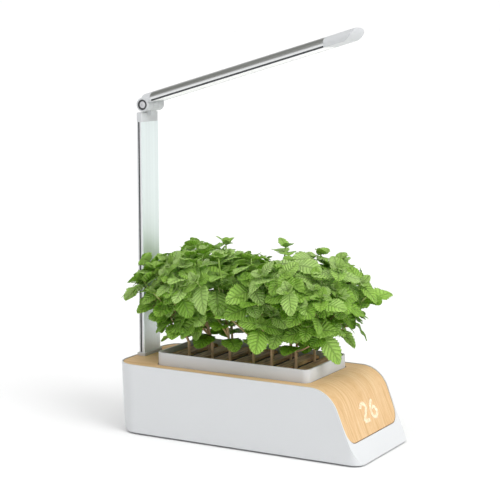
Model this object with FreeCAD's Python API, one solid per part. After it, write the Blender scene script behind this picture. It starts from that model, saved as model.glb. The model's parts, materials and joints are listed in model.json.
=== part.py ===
import FreeCAD, Part
import math
import os
import random

# Countertop hydroponic garden. Millimetres. +X points to the display end, +Z is up,
# and the origin is the middle of the centre foot, on the worktop.
os.makedirs("parts", exist_ok=True)
V = FreeCAD.Vector

# body
body_length = 380.0
body_width = 160.0
body_height = 99.0
body_floor = 2.5
side_draft = 2.7
rear_corner = 34.0
front_corner = 17.0
rear_bottom_radius = 27.0
wall = 2.4
rim_width = 2.0
rim_step = 0.8
ledge_width = 5.0

# front curve
bend_radius = 42.0
slope_angle = math.radians(68.3)
straight_end_z = 34.0
flare_radius = 125.0

# deck
deck_thickness = 3.0
deck_end_z = 27.0
deck_end_corner = 19.0
fit = 0.15

# display
display_z = 56.0

# base
pan_thickness = 2.5
foot_radius = 9.0
foot_height = 3.5
foot_x = 135.0
foot_y = 52.0
screw_radius = 1.5
boss_radius = 4.2

# tank
tank_x0 = -146.0
tank_x1 = 116.0
tank_half_width = 70.0
tank_wall = 2.0
tank_top = 92.0
pillar_side = 10.0

# planting tray
tray_x0 = -131.0
tray_x1 = 104.0
tray_half_width = 59.0
tray_top = 115.6
tray_bottom = 62.0
tray_wall = 2.2
tray_corner = 9.0
tray_gap = 1.0
bar_pitch = 32.5
bar_gap = 8.0
gap_count = 6
board_bottom = 99.0
board_plate = 3.0
board_top = 110.0
sponge_top = 107.0
sponge_bottom = 78.0
tray_lift = 60.0

# post
post_front_x = -175.5
post_thickness = 9.0
post_width = 41.0
post_top = 428.0
post_bottom = 62.0
panel_thickness = 1.6
collar_height = 4.8
collar_lip = 1.9

# hinge
axis_x = -174.5
axis_z = 452.0
barrel_radius = 9.5
bolt_radius = 3.0
shaft_gap = 0.05
lug_half_width = 6.5
washer_thickness = 0.5

# lamp arm
arm_tilt = 16.0
arm_width = 41.0
arm_low = 1.0
arm_widest = 5.5
arm_crown = 15.6
arm_heel = 1.2
arm_start = 15.0
arm_end = 292.0
arm_tip = 336.0
led_pitch = 18.0

# pump and float
pump_x = 20.0
pump_radius = 22.0
pump_height = 30.0
shaft_radius = 1.5
impeller_radius = 13.0
float_x = 66.0
float_y = 40.0
float_travel = 22.0

# plants
plant_seed = 26
plant_rows = 2
leaf_long = 39.0
leaf_mid = 31.0
leaf_short = 20.0
leaf_thickness = 1.0
stem_radius = 1.7
foot_stem_radius = 2.6

deck_top = body_height - rim_step
deck_low = deck_top - deck_thickness
pan_top = body_floor + pan_thickness
half = body_length / 2.0
post_back_x = post_front_x - post_thickness
post_mid_x = post_front_x - post_thickness / 2.0


def box(x0, x1, y0, y1, z0, z1):
    return Part.makeBox(x1 - x0, y1 - y0, z1 - z0, V(x0, y0, z0))


def upright(x, y, z0, z1, radius):
    return Part.makeCylinder(radius, z1 - z0, V(x, y, z0))


def along_y(x, z, y0, y1, radius):
    return Part.makeCylinder(radius, y1 - y0, V(x, y0, z), V(0, 1, 0))


def along_x(y, z, x0, x1, radius):
    return Part.makeCylinder(radius, x1 - x0, V(x0, y, z), V(1, 0, 0))


def join(first, others):
    return first.multiFuse(others).removeSplitter() if others else first


def rounded_wire(x0, x1, half_y, rear, front, z):
    rear = max(rear, 0.5)
    front = max(front, 0.5)
    k = math.sqrt(0.5)
    rx, ry = x0 + rear, half_y - rear
    fx, fy = x1 - front, half_y - front
    edges = [
        Part.makeLine(V(rx, -half_y, z), V(fx, -half_y, z)),
        Part.Arc(V(fx, -half_y, z), V(fx + front * k, -fy - front * k, z), V(x1, -fy, z)).toShape(),
        Part.makeLine(V(x1, -fy, z), V(x1, fy, z)),
        Part.Arc(V(x1, fy, z), V(fx + front * k, fy + front * k, z), V(fx, half_y, z)).toShape(),
        Part.makeLine(V(fx, half_y, z), V(rx, half_y, z)),
        Part.Arc(V(rx, half_y, z), V(rx - rear * k, ry + rear * k, z), V(x0, ry, z)).toShape(),
        Part.makeLine(V(x0, ry, z), V(x0, -ry, z)),
        Part.Arc(V(x0, -ry, z), V(rx - rear * k, -ry - rear * k, z), V(rx, -half_y, z)).toShape(),
    ]
    return Part.Wire(edges)


def rounded_block(x0, x1, half_y, radius, z0, z1):
    face = Part.Face(rounded_wire(x0, x1, half_y, radius, radius, z0))
    return face.extrude(V(0, 0, z1 - z0))


def plan_prism(inset, z0, z1):
    wires = []
    for z in (z0, z1):
        d = inset + side_draft * (1.0 - z / body_height)
        wires.append(rounded_wire(-half + d, half + 1.0, body_width / 2.0 - d,
                                  rear_corner - inset, front_corner - inset, z))
    return Part.makeLoft(wires, True, True)


def front_run():
    # length of the front curve along X, from the end of the flat top to the bottom edge
    arc = bend_radius * math.sin(slope_angle)
    z1 = body_height - bend_radius * (1.0 - math.cos(slope_angle))
    straight = (z1 - straight_end_z) / math.tan(slope_angle)
    low = math.acos(math.cos(slope_angle) + (straight_end_z - body_floor) / flare_radius)
    return arc + straight + flare_radius * (math.sin(slope_angle) - math.sin(low))


bend_x = half - front_run()


def profile_solid(d, edge=0.0, floor_z=None, half_y=100.0):
    # side profile moved inwards by d at the top and front and by edge at the rear and floor;
    # with floor_z given it runs straight down to that height and past the rear
    sa, ca = math.sin(slope_angle), math.cos(slope_angle)
    r1 = bend_radius - d
    c1 = V(bend_x, 0, body_height - bend_radius)
    p0 = V(bend_x, 0, body_height - d)
    h = slope_angle / 2.0
    p0m = c1 + V(r1 * math.sin(h), 0, r1 * math.cos(h))
    p1 = c1 + V(r1 * sa, 0, r1 * ca)
    z1 = body_height - bend_radius * (1.0 - ca)
    x1 = bend_x + bend_radius * sa
    x2 = x1 + (z1 - straight_end_z) / math.tan(slope_angle)
    c2 = V(x2 + flare_radius * sa, 0, straight_end_z + flare_radius * ca)
    r2 = flare_radius + d
    p2 = c2 - V(r2 * sa, 0, r2 * ca)
    rear_radius = floor_z is None
    if rear_radius:
        floor_z = body_floor + edge
    low = math.acos(min(1.0, (c2.z - floor_z) / r2))
    p3 = c2 - V(r2 * math.sin(low), 0, r2 * math.cos(low))
    m = (slope_angle + low) / 2.0
    p2m = c2 - V(r2 * math.sin(m), 0, r2 * math.cos(m))
    rear = -half + edge if rear_radius else -half - 5.0
    edges = [Part.makeLine(V(rear, 0, body_height - d), p0),
             Part.Arc(p0, p0m, p1).toShape(),
             Part.makeLine(p1, p2),
             Part.Arc(p2, p2m, p3).toShape()]
    if rear_radius:
        r = rear_bottom_radius - edge
        c = V(-half + rear_bottom_radius, 0, body_floor + rear_bottom_radius)
        low_p = c - V(0, 0, r)
        k = math.sqrt(0.5)
        edges.append(Part.makeLine(p3, low_p))
        edges.append(Part.Arc(low_p, c - V(r * k, 0, r * k), c - V(r, 0, 0)).toShape())
        edges.append(Part.makeLine(c - V(r, 0, 0), V(rear, 0, body_height - d)))
    else:
        edges.append(Part.makeLine(p3, V(rear, 0, floor_z)))
        edges.append(Part.makeLine(V(rear, 0, floor_z), V(rear, 0, body_height - d)))
    face = Part.Face(Part.Wire(edges))
    face.translate(V(0, -half_y, 0))
    return face.extrude(V(0, 2.0 * half_y, 0))


def deck_end_tool(gap):
    # block that keeps everything above the rounded lower end of the deck
    z = deck_end_z - gap
    w = body_width / 2.0 - rim_width - side_draft * (1.0 - z / body_height) + gap
    r = deck_end_corner
    k = r * math.sqrt(0.5)
    x = -half - 10.0
    edges = [
        Part.makeLine(V(x, -w + r, z), V(x, w - r, z)),
        Part.Arc(V(x, w - r, z), V(x, w - r + k, z + r - k), V(x, w, z + r)).toShape(),
        Part.makeLine(V(x, w, z + r), V(x, w + 15.0, 130.0)),
        Part.makeLine(V(x, w + 15.0, 130.0), V(x, -w - 15.0, 130.0)),
        Part.makeLine(V(x, -w - 15.0, 130.0), V(x, -w, z + r)),
        Part.Arc(V(x, -w, z + r), V(x, -w + r - k, z + r - k), V(x, -w + r, z)).toShape(),
    ]
    return Part.Face(Part.Wire(edges)).extrude(V(body_length + 40.0, 0, 0))


def boss_places():
    rear_x = tank_x0 - boss_radius - 2.3
    front_x = tank_x1 + boss_radius + 6.0
    y = tank_half_width - boss_radius
    return [(rear_x, -y), (rear_x, y), (front_x, -y), (front_x, y)]


def jack_z():
    return 44.0


jack_y = -34.0


def wall_x(z):
    return -half + side_draft * (1.0 - z / body_height)


def make_outer_shell():
    outer = plan_prism(0.0, 0.0, body_height + 10.0).common(profile_solid(0.0))
    pocket = plan_prism(rim_width, 0.0, body_height + 10.0)
    pocket = pocket.common(box(-half - 1, half + 5, -100, 100, 0, body_height + 9))
    pocket = pocket.cut(profile_solid(rim_step + deck_thickness, floor_z=-5.0))
    pocket = pocket.common(deck_end_tool(0.0))
    cavity = plan_prism(wall, 0.0, body_height + 10.0)
    under = rim_step + deck_thickness
    cavity_low = cavity.common(profile_solid(under + wall, wall))
    mouth = plan_prism(wall + ledge_width, 0.0, body_height + 10.0)
    mouth = mouth.common(profile_solid(under - 0.05, floor_z=body_floor + wall))
    mouth = mouth.common(box(-half, half, -100, 100, deck_end_z + 7.0, body_height))
    opening = plan_prism(wall, 0.0, body_height + 10.0)
    opening = opening.common(box(-half + rear_bottom_radius + 3, half - 10, -100, 100,
                                 body_floor - 1, body_floor + under + wall + 0.5))
    shell = outer.cut(pocket).cut(cavity_low).cut(mouth).cut(opening)
    bosses = []
    for x, y in boss_places():
        side = box(x - 2.0, x + 2.0, min(y, math.copysign(76.0, y)), max(y, math.copysign(76.0, y)),
                   pan_top, 30.0).common(plan_prism(wall / 2.0, 0.0, 60.0))
        bosses.append(upright(x, y, pan_top, 30.0, boss_radius).common(plan_prism(wall / 2.0, 0.0, 60.0)))
        bosses.append(side)
    shell = join(shell, bosses)
    for x, y in boss_places():
        shell = shell.cut(upright(x, y, 0.0, 24.0, screw_radius + 0.02))
    shell = shell.cut(along_x(jack_y, jack_z(), -half - 5.0, -half + 12.0, 5.6))
    return shell.cut(box(-half + wall + 1.0, post_front_x + 6.0, -post_width / 2 - 3.5,
                         post_width / 2 + 3.5, deck_low - wall - 2.0, deck_low + 0.5))


def make_wood_deck():
    deck = plan_prism(rim_width + fit, 0.0, body_height + 10.0)
    deck = deck.common(profile_solid(rim_step, floor_z=-5.0))
    deck = deck.cut(profile_solid(rim_step + deck_thickness, floor_z=-6.0))
    deck = deck.common(deck_end_tool(-fit))
    deck = deck.cut(rounded_block(tray_x0 - tray_gap, tray_x1 + tray_gap, tray_half_width + tray_gap,
                                  tray_corner + tray_gap, deck_low - 5, deck_top + 5))
    hole = 0.3
    return deck.cut(box(post_back_x - hole, post_front_x + hole, -post_width / 2 - hole,
                        post_width / 2 + hole, deck_low - 5, deck_top + 5))


def make_base_pan():
    low = -half + rear_bottom_radius + 3 + fit
    pan = plan_prism(wall + fit, 0.0, 40.0)
    pan = pan.common(box(low, half - 10 - fit, -100, 100, body_floor, pan_top))
    stand = [upright(x, y, pan_top, 13.0, 3.0) for x, y in board_screws()]
    pan = join(pan, stand)
    for x, y in foot_places():
        pan = pan.cut(upright(x, y, 0.0, foot_height, foot_radius + 0.3))
    for x, y in boss_places():
        pan = pan.cut(upright(x, y, 0.0, 10.0, screw_radius + 0.3))
        pan = pan.cut(upright(x, y, 0.0, body_floor + 1.4, 3.3))
    for x, y in board_screws():
        pan = pan.cut(upright(x, y, 6.0, 14.0, 1.02))
    return pan


def foot_places():
    return [(0.0, 0.0), (foot_x, foot_y), (foot_x, -foot_y), (-foot_x, foot_y), (-foot_x, -foot_y)]


def make_rubber_feet():
    feet = []
    for x, y in foot_places():
        foot = upright(x, y, 0.0, foot_height, foot_radius)
        feet.append(foot.makeChamfer(0.6, [e for e in foot.Edges if e.BoundBox.ZMax < 0.01]))
    return Part.makeCompound(feet)


def make_base_screws():
    screws = []
    for x, y in boss_places():
        head = upright(x, y, body_floor + 0.2, body_floor + 1.4, 3.0)
        screws.append(join(head, [upright(x, y, body_floor + 1.0, 22.0, screw_radius)]))
    return Part.makeCompound(screws)


def pillar_places():
    inset = pillar_side / 2.0 + 3.0
    return [(sx, sy) for sx in (tray_x0 + inset, tray_x1 - inset)
            for sy in (-tray_half_width + inset, tray_half_width - inset)]


def make_water_tank():
    outer = rounded_block(tank_x0, tank_x1, tank_half_width, 12.0, pan_top, tank_top)
    inner = rounded_block(tank_x0 + tank_wall, tank_x1 - tank_wall, tank_half_width - tank_wall,
                          12.0 - tank_wall, pan_top + tank_wall, tank_top + 1)
    tank = outer.cut(inner)
    s = pillar_side / 2.0
    posts = [box(x - s, x + s, y - s, y + s, pan_top + 1, tray_bottom) for x, y in pillar_places()]
    lugs = [box(pump_x - 30, pump_x - 26, -4, 4, pan_top + 1, pan_top + 8),
            box(pump_x + 26, pump_x + 30, -4, 4, pan_top + 1, pan_top + 8)]
    return join(tank, posts + lugs)


def make_tank_seal():
    outer = rounded_block(tank_x0, tank_x1, tank_half_width, 12.0, tank_top, deck_low)
    return outer.cut(rounded_block(tank_x0 + tank_wall, tank_x1 - tank_wall, tank_half_width - tank_wall,
                                   10.0, tank_top - 1, deck_low + 1))


def gap_xs():
    mid = (tray_x0 + tray_x1) / 2.0
    return [mid + (i - (gap_count - 1) / 2.0) * bar_pitch for i in range(gap_count)]


def make_planting_tray():
    outer = rounded_block(tray_x0, tray_x1, tray_half_width, tray_corner, tray_bottom, tray_top)
    w = tray_wall
    inner = rounded_block(tray_x0 + w, tray_x1 - w, tray_half_width - w, tray_corner - w,
                          tray_bottom + w, tray_top + 1)
    lip = 3.0
    ledge = rounded_block(tray_x0 + w, tray_x1 - w, tray_half_width - w, tray_corner - w,
                          board_bottom - 2.0, board_bottom)
    ledge = ledge.cut(rounded_block(tray_x0 + w + lip, tray_x1 - w - lip, tray_half_width - w - lip,
                                    tray_corner - w - 1, board_bottom - 3, board_bottom + 1))
    tray = join(outer.cut(inner), [ledge])
    for x in gap_xs():
        for y in (-32.0, 32.0):
            tray = tray.cut(box(x - 2.0, x + 2.0, y - 14, y + 14, tray_bottom - 1, tray_bottom + w + 1))
    return tray.cut(upright(pump_x, 0, tray_bottom - 1, tray_bottom + w + 1, 7.0))


def make_planting_board():
    c = 0.3
    w = tray_wall + c
    plate = rounded_block(tray_x0 + w, tray_x1 - w, tray_half_width - w, tray_corner - w,
                          board_bottom, board_bottom + board_plate)
    bars = []
    xs = gap_xs()
    starts = [tray_x0 + w + 2] + [x + bar_gap / 2.0 for x in xs]
    ends = [x - bar_gap / 2.0 for x in xs] + [tray_x1 - w - 2]
    hy = tray_half_width - w - 3.0
    for a, b in zip(starts, ends):
        bar = box(a, b, -hy, hy, board_bottom + 1, board_top)
        tops = [e for e in bar.Edges if e.BoundBox.ZMin > board_top - 0.01 and e.BoundBox.YLength > 10]
        bars.append(bar.makeFillet(min(4.0, (b - a) / 2.5), tops))
    rim_y = [box(tray_x0 + w + 2, tray_x1 - w - 2, s * hy - 1.5, s * hy + 1.5, board_bottom + 1,
                 board_bottom + 6) for s in (-1, 1)]
    board = join(plate, bars + rim_y)
    for x in xs:
        board = board.cut(box(x - 3.0, x + 3.0, -46, 46, board_bottom - 1, board_bottom + board_plate + 0.0))
    return board


def root_places():
    places = []
    for i, x in enumerate(gap_xs()):
        shift = 4.0 if i % 2 else -4.0
        places.append((x, -27.0 + shift))
        places.append((x, 27.0 + shift))
    return places


def make_sponge_strips():
    strips = []
    seat = board_bottom + board_plate
    for i, x in enumerate(gap_xs()):
        wide = box(x - bar_gap / 2 + 0.3, x + bar_gap / 2 - 0.3, -48, 48, seat, sponge_top)
        stalk = box(x - 2.7, x + 2.7, -45.7, 45.7, sponge_bottom, seat + 1)
        strip = join(wide, [stalk])
        for rx, ry in root_places()[2 * i:2 * i + 2]:
            strip = strip.cut(upright(rx, ry, seat - 0.0, sponge_top + 1, foot_stem_radius + 0.3))
        strips.append(strip)
    return Part.makeCompound(strips)


def leaf_axes(azimuth, rise):
    d = (math.cos(azimuth) * math.cos(rise), math.sin(azimuth) * math.cos(rise), math.sin(rise))
    s = (-math.sin(azimuth), math.cos(azimuth), 0.0)
    n = (-math.cos(azimuth) * math.sin(rise), -math.sin(azimuth) * math.sin(rise), math.cos(rise))
    return d, s, n


def leaf_samples(base, azimuth, rise, length):
    # points on a drooping leaf, used to keep leaves apart
    d, s, n = leaf_axes(azimuth, rise)
    points = []
    for step in range(1, 7):
        u = 0.16 * step
        spread = 0.34 * math.sin(math.pi * min(1.0, u * 1.08) ** 0.8)
        drop = -0.42 * (u - 0.25) ** 2 * length
        for w in (-spread, 0.0, spread):
            points.append(tuple(base[k] + d[k] * u * length + s[k] * w * length + n[k] * drop
                                for k in range(3)))
    return points


def stem_samples(points):
    result = []
    for a, b in zip(points[:-1], points[1:]):
        span = math.dist(a, b)
        count = max(2, int(span / 4.0))
        for i in range(count + 1):
            result.append(tuple(a[k] + (b[k] - a[k]) * i / count for k in range(3)))
    return result


def leaf_allowed(points):
    for x, y, z in points:
        if x < -196.0 or x > 178.0 or abs(y) > 96.0:
            return False
        if z < tray_top + 4.0 and (abs(y) > tray_half_width - 5 or x < tray_x0 + 5 or x > tray_x1 - 5):
            if z < body_height + 7.0:
                return False
            if abs(abs(y) - tray_half_width) < 7 or abs(x - tray_x0) < 7 or abs(x - tray_x1) < 7:
                return False
        if z < board_top + 5.0:
            return False
        if x < post_front_x + 9.0 and abs(y) < post_width / 2.0 + 9.0:
            return False
    return True


def plant_stems(rng):
    # every plant: a main stem with a bend above the board, and up to two side stems
    mid_x = (tray_x0 + tray_x1) / 2.0
    plants = []
    for rx, ry in root_places():
        out_x = (rx - mid_x) / (tray_x1 - mid_x)
        out_y = ry / tray_half_width
        reach_x = 36.0 if out_x > 0 else 58.0
        crown = (rx + out_x * reach_x + rng.uniform(-5, 5), ry + out_y * 44.0 + rng.uniform(-5, 5),
                 252.0 - 20.0 * out_x * out_x - 10.0 * abs(out_y) + rng.uniform(-12, 10))
        plants.append([[(rx, ry, board_bottom + board_plate), (rx, ry, 128.0), crown]])
    for index, (rx, ry) in enumerate(root_places()):
        out_x = (rx - mid_x) / (tray_x1 - mid_x)
        out_y = ry / tray_half_width
        low, crown = plants[index][0][1:]
        for side in (-1, 1):
            t = 0.12 if side < 0 else 0.3
            base = tuple(low[k] + (crown[k] - low[k]) * t for k in range(3))
            az = math.atan2(out_y * 1.4 + rng.uniform(-0.5, 0.5), out_x + 0.01 + rng.uniform(-0.5, 0.5))
            az += side * 0.75
            reach = rng.uniform(26, 40)
            end = (base[0] + math.cos(az) * reach, base[1] + math.sin(az) * reach,
                   base[2] + rng.uniform(30, 62))
            stem = stem_samples([base, end])
            clear = all(not near(a, b, 9.0) for i, group in enumerate(plants) if i != index
                        for other in group for b in stem_samples(other) for a in stem)
            if clear and leaf_allowed([end]):
                plants[index].append([base, end])
    return plants


def plant_layout():
    # every plant: its stems as point lists and its leaves as (stem point, azimuth, rise, length)
    rng = random.Random(plant_seed)
    every = plant_stems(rng)
    sampled = [[q for stem in stems for q in stem_samples(stem)] for stems in every]
    taken = []
    plants = []
    for index, stems in enumerate(every):
        others = [q for i, group in enumerate(sampled) if i != index for q in group]
        start, tip = stems[0][1], stems[0][2]
        leaves = []
        count = 7
        for level in range(count):
            t = 0.1 + 0.84 * level / (count - 1)
            p = tuple(start[k] + (tip[k] - start[k]) * t for k in range(3))
            turn = rng.uniform(0, 0.6) + (math.pi / 2.0) * (level % 2) + index * 0.7
            size = leaf_long if level < count - 2 else leaf_mid
            for half_turn in (0.0, math.pi):
                place_leaf(rng, p, turn + half_turn, size, leaves, taken, others, False)
        for k in range(4):
            place_leaf(rng, tip, index * 1.3 + k * math.pi / 2.0, leaf_short, leaves, taken, others, True)
        for base, end in stems[1:]:
            az = math.atan2(end[1] - base[1], end[0] - base[0])
            for t in (0.55, 1.0):
                p = tuple(base[k] + (end[k] - base[k]) * t for k in range(3))
                turn = az + (math.pi / 2.0 if t < 1.0 else 0.0)
                for half_turn in (0.0, math.pi):
                    place_leaf(rng, p, turn + half_turn, leaf_mid, leaves, taken, others, False)
        plants.append((stems, leaves))
    return plants


def near(a, b, limit):
    return (a[0] - b[0]) ** 2 + (a[1] - b[1]) ** 2 + (a[2] - b[2]) ** 2 < limit * limit


def leaf_is_free(base, points, taken, stems):
    for q in stems:
        if near(q, base, 60.0) and any(near(q, a, 7.2) for a in points):
            return False
    for other_base, others in taken:
        if not near(other_base, base, 90.0):
            continue
        limit = 3.5 if near(other_base, base, 0.01) else 6.3
        for a in points:
            for b in others:
                if near(a, b, limit):
                    return False
    return True


def place_leaf(rng, p, azimuth, size, leaves, taken, stems, tuft):
    for attempt in range(12):
        az = azimuth + rng.uniform(-0.25, 0.25) * (1 + attempt * 0.35)
        rise = math.radians(rng.uniform(35, 60) if tuft else rng.uniform(8, 40))
        if attempt > 4:
            size = size * 0.93
        points = leaf_samples(p, az, rise, size)
        # the innermost points sit at the stem, so only the outer ones are compared
        outer = points[3:]
        if leaf_allowed(outer) and leaf_is_free(p, outer, taken, stems):
            taken.append((p, outer))
            leaves.append((p, az, rise, size))
            return


def leaf_prototype(length):
    width = 0.68 * length
    a = Part.Arc(V(-0.5, 0, 0), V(length * 0.42, width / 2, 0), V(length, 0, 0)).toShape()
    b = Part.Arc(V(length, 0, 0), V(length * 0.42, -width / 2, 0), V(-0.5, 0, 0)).toShape()
    radius = length / 0.84
    blade = Part.Face(Part.Wire([a, b])).extrude(V(0, 0, 0.6 * radius + 5.0))
    blade.translate(V(0, 0, -0.6 * radius))
    top = Part.makeCylinder(radius, width * 2, V(length * 0.25, -width, -radius), V(0, 1, 0))
    low = Part.makeCylinder(radius - leaf_thickness, width * 2, V(length * 0.25, -width, -radius), V(0, 1, 0))
    leaf = blade.common(top).cut(low)
    leaf.translate(V(0, 0, 0.026 * length + leaf_thickness / 2.0))
    return leaf


def rod(p, q, radius):
    a, b = V(*p), V(*q)
    return Part.makeCylinder(radius, (b - a).Length, a, b - a)


def open_edges(shape):
    # edges of the shape's mesh that do not have exactly two faces
    uses = {}
    for triangle in shape.copy().tessellate(0.1)[1]:
        for k in range(3):
            edge = tuple(sorted((triangle[k], triangle[k - 1])))
            uses[edge] = uses.get(edge, 0) + 1
    return sum(1 for count in uses.values() if count != 2)


def make_plant(stems, leaves, shapes):
    solids = []
    first = None
    for number, points in enumerate(stems):
        for k in range(len(points) - 1):
            thick = foot_stem_radius if number == 0 and k == 0 else stem_radius
            piece = rod(points[k], points[k + 1], thick)
            if first is None:
                first = piece
            else:
                solids.append(piece)
        solids.append(Part.makeSphere(stem_radius * 1.25, V(*points[-1])))
    for base, az, rise, size in leaves:
        if size not in shapes:
            shapes[size] = leaf_prototype(size)
        leaf = shapes[size].copy()
        leaf.rotate(V(0, 0, 0), V(0, 1, 0), -math.degrees(rise))
        leaf.rotate(V(0, 0, 0), V(0, 0, 1), math.degrees(az))
        leaf.translate(V(*base))
        solids.append(leaf)
    plant = first.multiFuse(solids)
    if len(plant.Solids) != 1 or open_edges(plant):
        # joined piece by piece where the joint cut of many leaves at once is not clean
        plant = first
        for piece in solids:
            plant = plant.fuse(piece)
    return plant


def make_pump_housing():
    z0 = pan_top + tank_wall
    body = upright(pump_x, 0, z0, z0 + pump_height, pump_radius)
    body = body.cut(upright(pump_x, 0, z0 + 3, z0 + pump_height + 1, pump_radius - 4))
    boss = upright(pump_x, 0, z0 + 2, z0 + 8, 4.0)
    body = join(body, [boss]).cut(upright(pump_x, 0, z0 + 4, z0 + 9, shaft_radius + 0.02))
    for k in range(4):
        slot = box(pump_radius - 6, pump_radius + 2, -2, 2, z0 + 5, z0 + 16)
        slot.rotate(V(0, 0, 0), V(0, 0, 1), 45 + 90 * k)
        slot.translate(V(pump_x, 0, 0))
        body = body.cut(slot)
    return body


def make_pump_cover():
    z0 = pan_top + tank_wall + pump_height
    cover = upright(pump_x, 0, z0, z0 + 3, pump_radius)
    boss = upright(pump_x, 0, z0 - 5, z0 + 1, 4.0)
    spout = upright(pump_x + 9, 0, z0 + 2, z0 + 12, 4.0)
    cover = join(cover, [boss, spout])
    cover = cover.cut(upright(pump_x, 0, z0 - 6, z0 - 1, shaft_radius + 0.02))
    return cover.cut(upright(pump_x + 9, 0, z0 - 1, z0 + 13, 2.4))


def make_pump_shaft():
    z0 = pan_top + tank_wall
    return upright(pump_x, 0, z0 + 4, z0 + pump_height - 1, shaft_radius)


def make_pump_impeller():
    z0 = pan_top + tank_wall
    low, top = z0 + 8.3, z0 + pump_height - 5.3
    hub = upright(pump_x, 0, low, top, 5.0)
    disc = upright(pump_x, 0, low, low + 2, impeller_radius)
    vanes = []
    for k in range(6):
        vane = box(3.5, impeller_radius - 0.5, -0.8, 0.8, low + 1, top - 2)
        vane.rotate(V(0, 0, 0), V(0, 0, 1), 60 * k)
        vane.translate(V(pump_x, 0, 0))
        vanes.append(vane)
    rotor = join(hub, [disc] + vanes)
    return rotor.cut(upright(pump_x, 0, low - 1, top + 1, shaft_radius + shaft_gap))


def make_outlet_tube():
    z0 = pan_top + tank_wall + pump_height + 3
    tube = upright(pump_x + 9, 0, z0, z0 + 18, 6.0)
    return tube.cut(upright(pump_x + 9, 0, z0 - 1, z0 + 9.3, 4.05)).cut(
        upright(pump_x + 9, 0, z0 + 8, z0 + 19, 3.0))


def make_suction_feet():
    z0 = pan_top + tank_wall
    feet = []
    for k in range(2):
        x = pump_x + (-26 if k else 26)
        feet.append(box(x - 3.7, x + 3.7, 5.0, 12.0, z0, z0 + 4))
    return Part.makeCompound(feet)


def make_float_stem():
    z0 = pan_top + tank_wall
    base = upright(float_x, float_y, z0, z0 + 9, 6.0)
    stem = upright(float_x, float_y, z0 + 8, z0 + 48, 3.0)
    return join(base, [stem])


def make_float_ring():
    z0 = pan_top + tank_wall + 9
    ring = upright(float_x, float_y, z0, z0 + 14, 10.5)
    return ring.cut(upright(float_x, float_y, z0 - 1, z0 + 15, 3.0 + 0.08))


def make_float_clip():
    z0 = pan_top + tank_wall + 9 + 14 + float_travel + 0.5
    clip = upright(float_x, float_y, z0, z0 + 2, 5.5)
    return clip.cut(upright(float_x, float_y, z0 - 1, z0 + 3, 3.02))


def board_screws():
    return [(126.0, -38.0), (126.0, 38.0), (160.0, -38.0), (160.0, 38.0)]


def make_control_board():
    board = box(121.0, 165.0, -44.0, 44.0, 13.0, 14.6)
    for x, y in board_screws():
        board = board.cut(upright(x, y, 12, 16, 1.15))
    return board


def make_board_chips():
    return Part.makeCompound([box(134, 146, -6, 6, 14.6, 16.2), box(150, 156, -28, -18, 14.6, 19.0),
                              upright(128, 20, 14.6, 25.0, 5.0), box(148, 156, 12, 28, 14.6, 18.0)])


def make_board_screws():
    screws = []
    for x, y in board_screws():
        screws.append(join(upright(x, y, 8.0, 15.0, 1.0), [upright(x, y, 14.6, 16.0, 2.2)]))
    return Part.makeCompound(screws)


def on_slope(shape):
    # local X runs down the straight slope, local Z points out of it
    shape.rotate(V(0, 0, 0), V(0, 1, 0), math.degrees(slope_angle))
    z = display_z
    x1 = bend_x + bend_radius * math.sin(slope_angle)
    z1 = body_height - bend_radius * (1.0 - math.cos(slope_angle))
    shape.translate(V(x1 + (z1 - z) / math.tan(slope_angle), 0, z))
    return shape


def make_light_guide():
    under = rim_step + deck_thickness
    guide = box(-15, 15, -22, 22, -under - 4.0, -under)
    for a in (-8, 8):
        guide = guide.cut(box(-11, 11, a - 6, a + 6, -under - 5.0, -under - 1.0))
    return on_slope(guide)


def make_display_board():
    under = rim_step + deck_thickness + 4.0
    return on_slope(box(-17, 17, -26, 26, -under - 1.6, -under))


def make_display_leds():
    under = rim_step + deck_thickness + 4.0
    return Part.makeCompound([on_slope(box(u - 1.5, u + 1.5, y - 1.5, y + 1.5, -under, -under + 1.2))
                              for u in (-6, 0, 6) for y in (-10, -6, 6, 10)])


def make_inlet_jack():
    z = jack_z()
    face_x = wall_x(z + 7.0) - 0.1
    flange = along_x(jack_y, z, face_x - 1.6, face_x, 7.0)
    jack = join(flange, [along_x(jack_y, z, face_x - 1.0, face_x + 16.0, 5.3)])
    jack = jack.cut(along_x(jack_y, z, face_x - 3.0, face_x + 9.0, 2.8))
    return join(jack, [along_x(jack_y, z, face_x + 1.0, face_x + 10.0, 1.0)])


def make_inlet_nut():
    z = jack_z()
    x0 = wall_x(z - 8.0) + wall + 0.1
    nut = Part.makePolygon([V(x0, jack_y + 8.0 * math.cos(math.radians(60 * k)),
                              z + 8.0 * math.sin(math.radians(60 * k))) for k in range(7)])
    nut = Part.Face(nut).extrude(V(2.6, 0, 0))
    return nut.cut(along_x(jack_y, z, x0 - 1, x0 + 4, 5.6))


def make_post_bracket():
    g = 0.1
    t = 1.3
    w = post_width / 2.0
    socket = box(post_back_x - g - t, post_front_x + g + 2.0, -w - g - 2.0, w + g + 2.0,
                 post_bottom - 2.0, deck_low)
    socket = socket.cut(box(post_back_x - g, post_front_x + g, -w - g, w + g, post_bottom, deck_low + 1))
    shelf = box(post_back_x - g - t, tank_x0 - 3.0, -w, w, post_bottom - 4.0, post_bottom - 1.9)
    leg = box(tank_x0 - 6.0, tank_x0 - 3.0, -w, w, pan_top, post_bottom - 2.0)
    return join(socket, [shelf, leg])


def make_post_collar():
    w = post_width / 2.0
    c = collar_lip
    collar = box(post_back_x - c, post_front_x + c, -w - c, w + c, deck_top, deck_top + collar_height)
    tops = [e for e in collar.Edges if e.BoundBox.ZMin > deck_top + collar_height - 0.01]
    collar = collar.makeFillet(1.3, tops)
    g = 0.1
    return collar.cut(box(post_back_x - g, post_front_x + g, -w - g, w + g, deck_top - 1, deck_top + 9))


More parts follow.
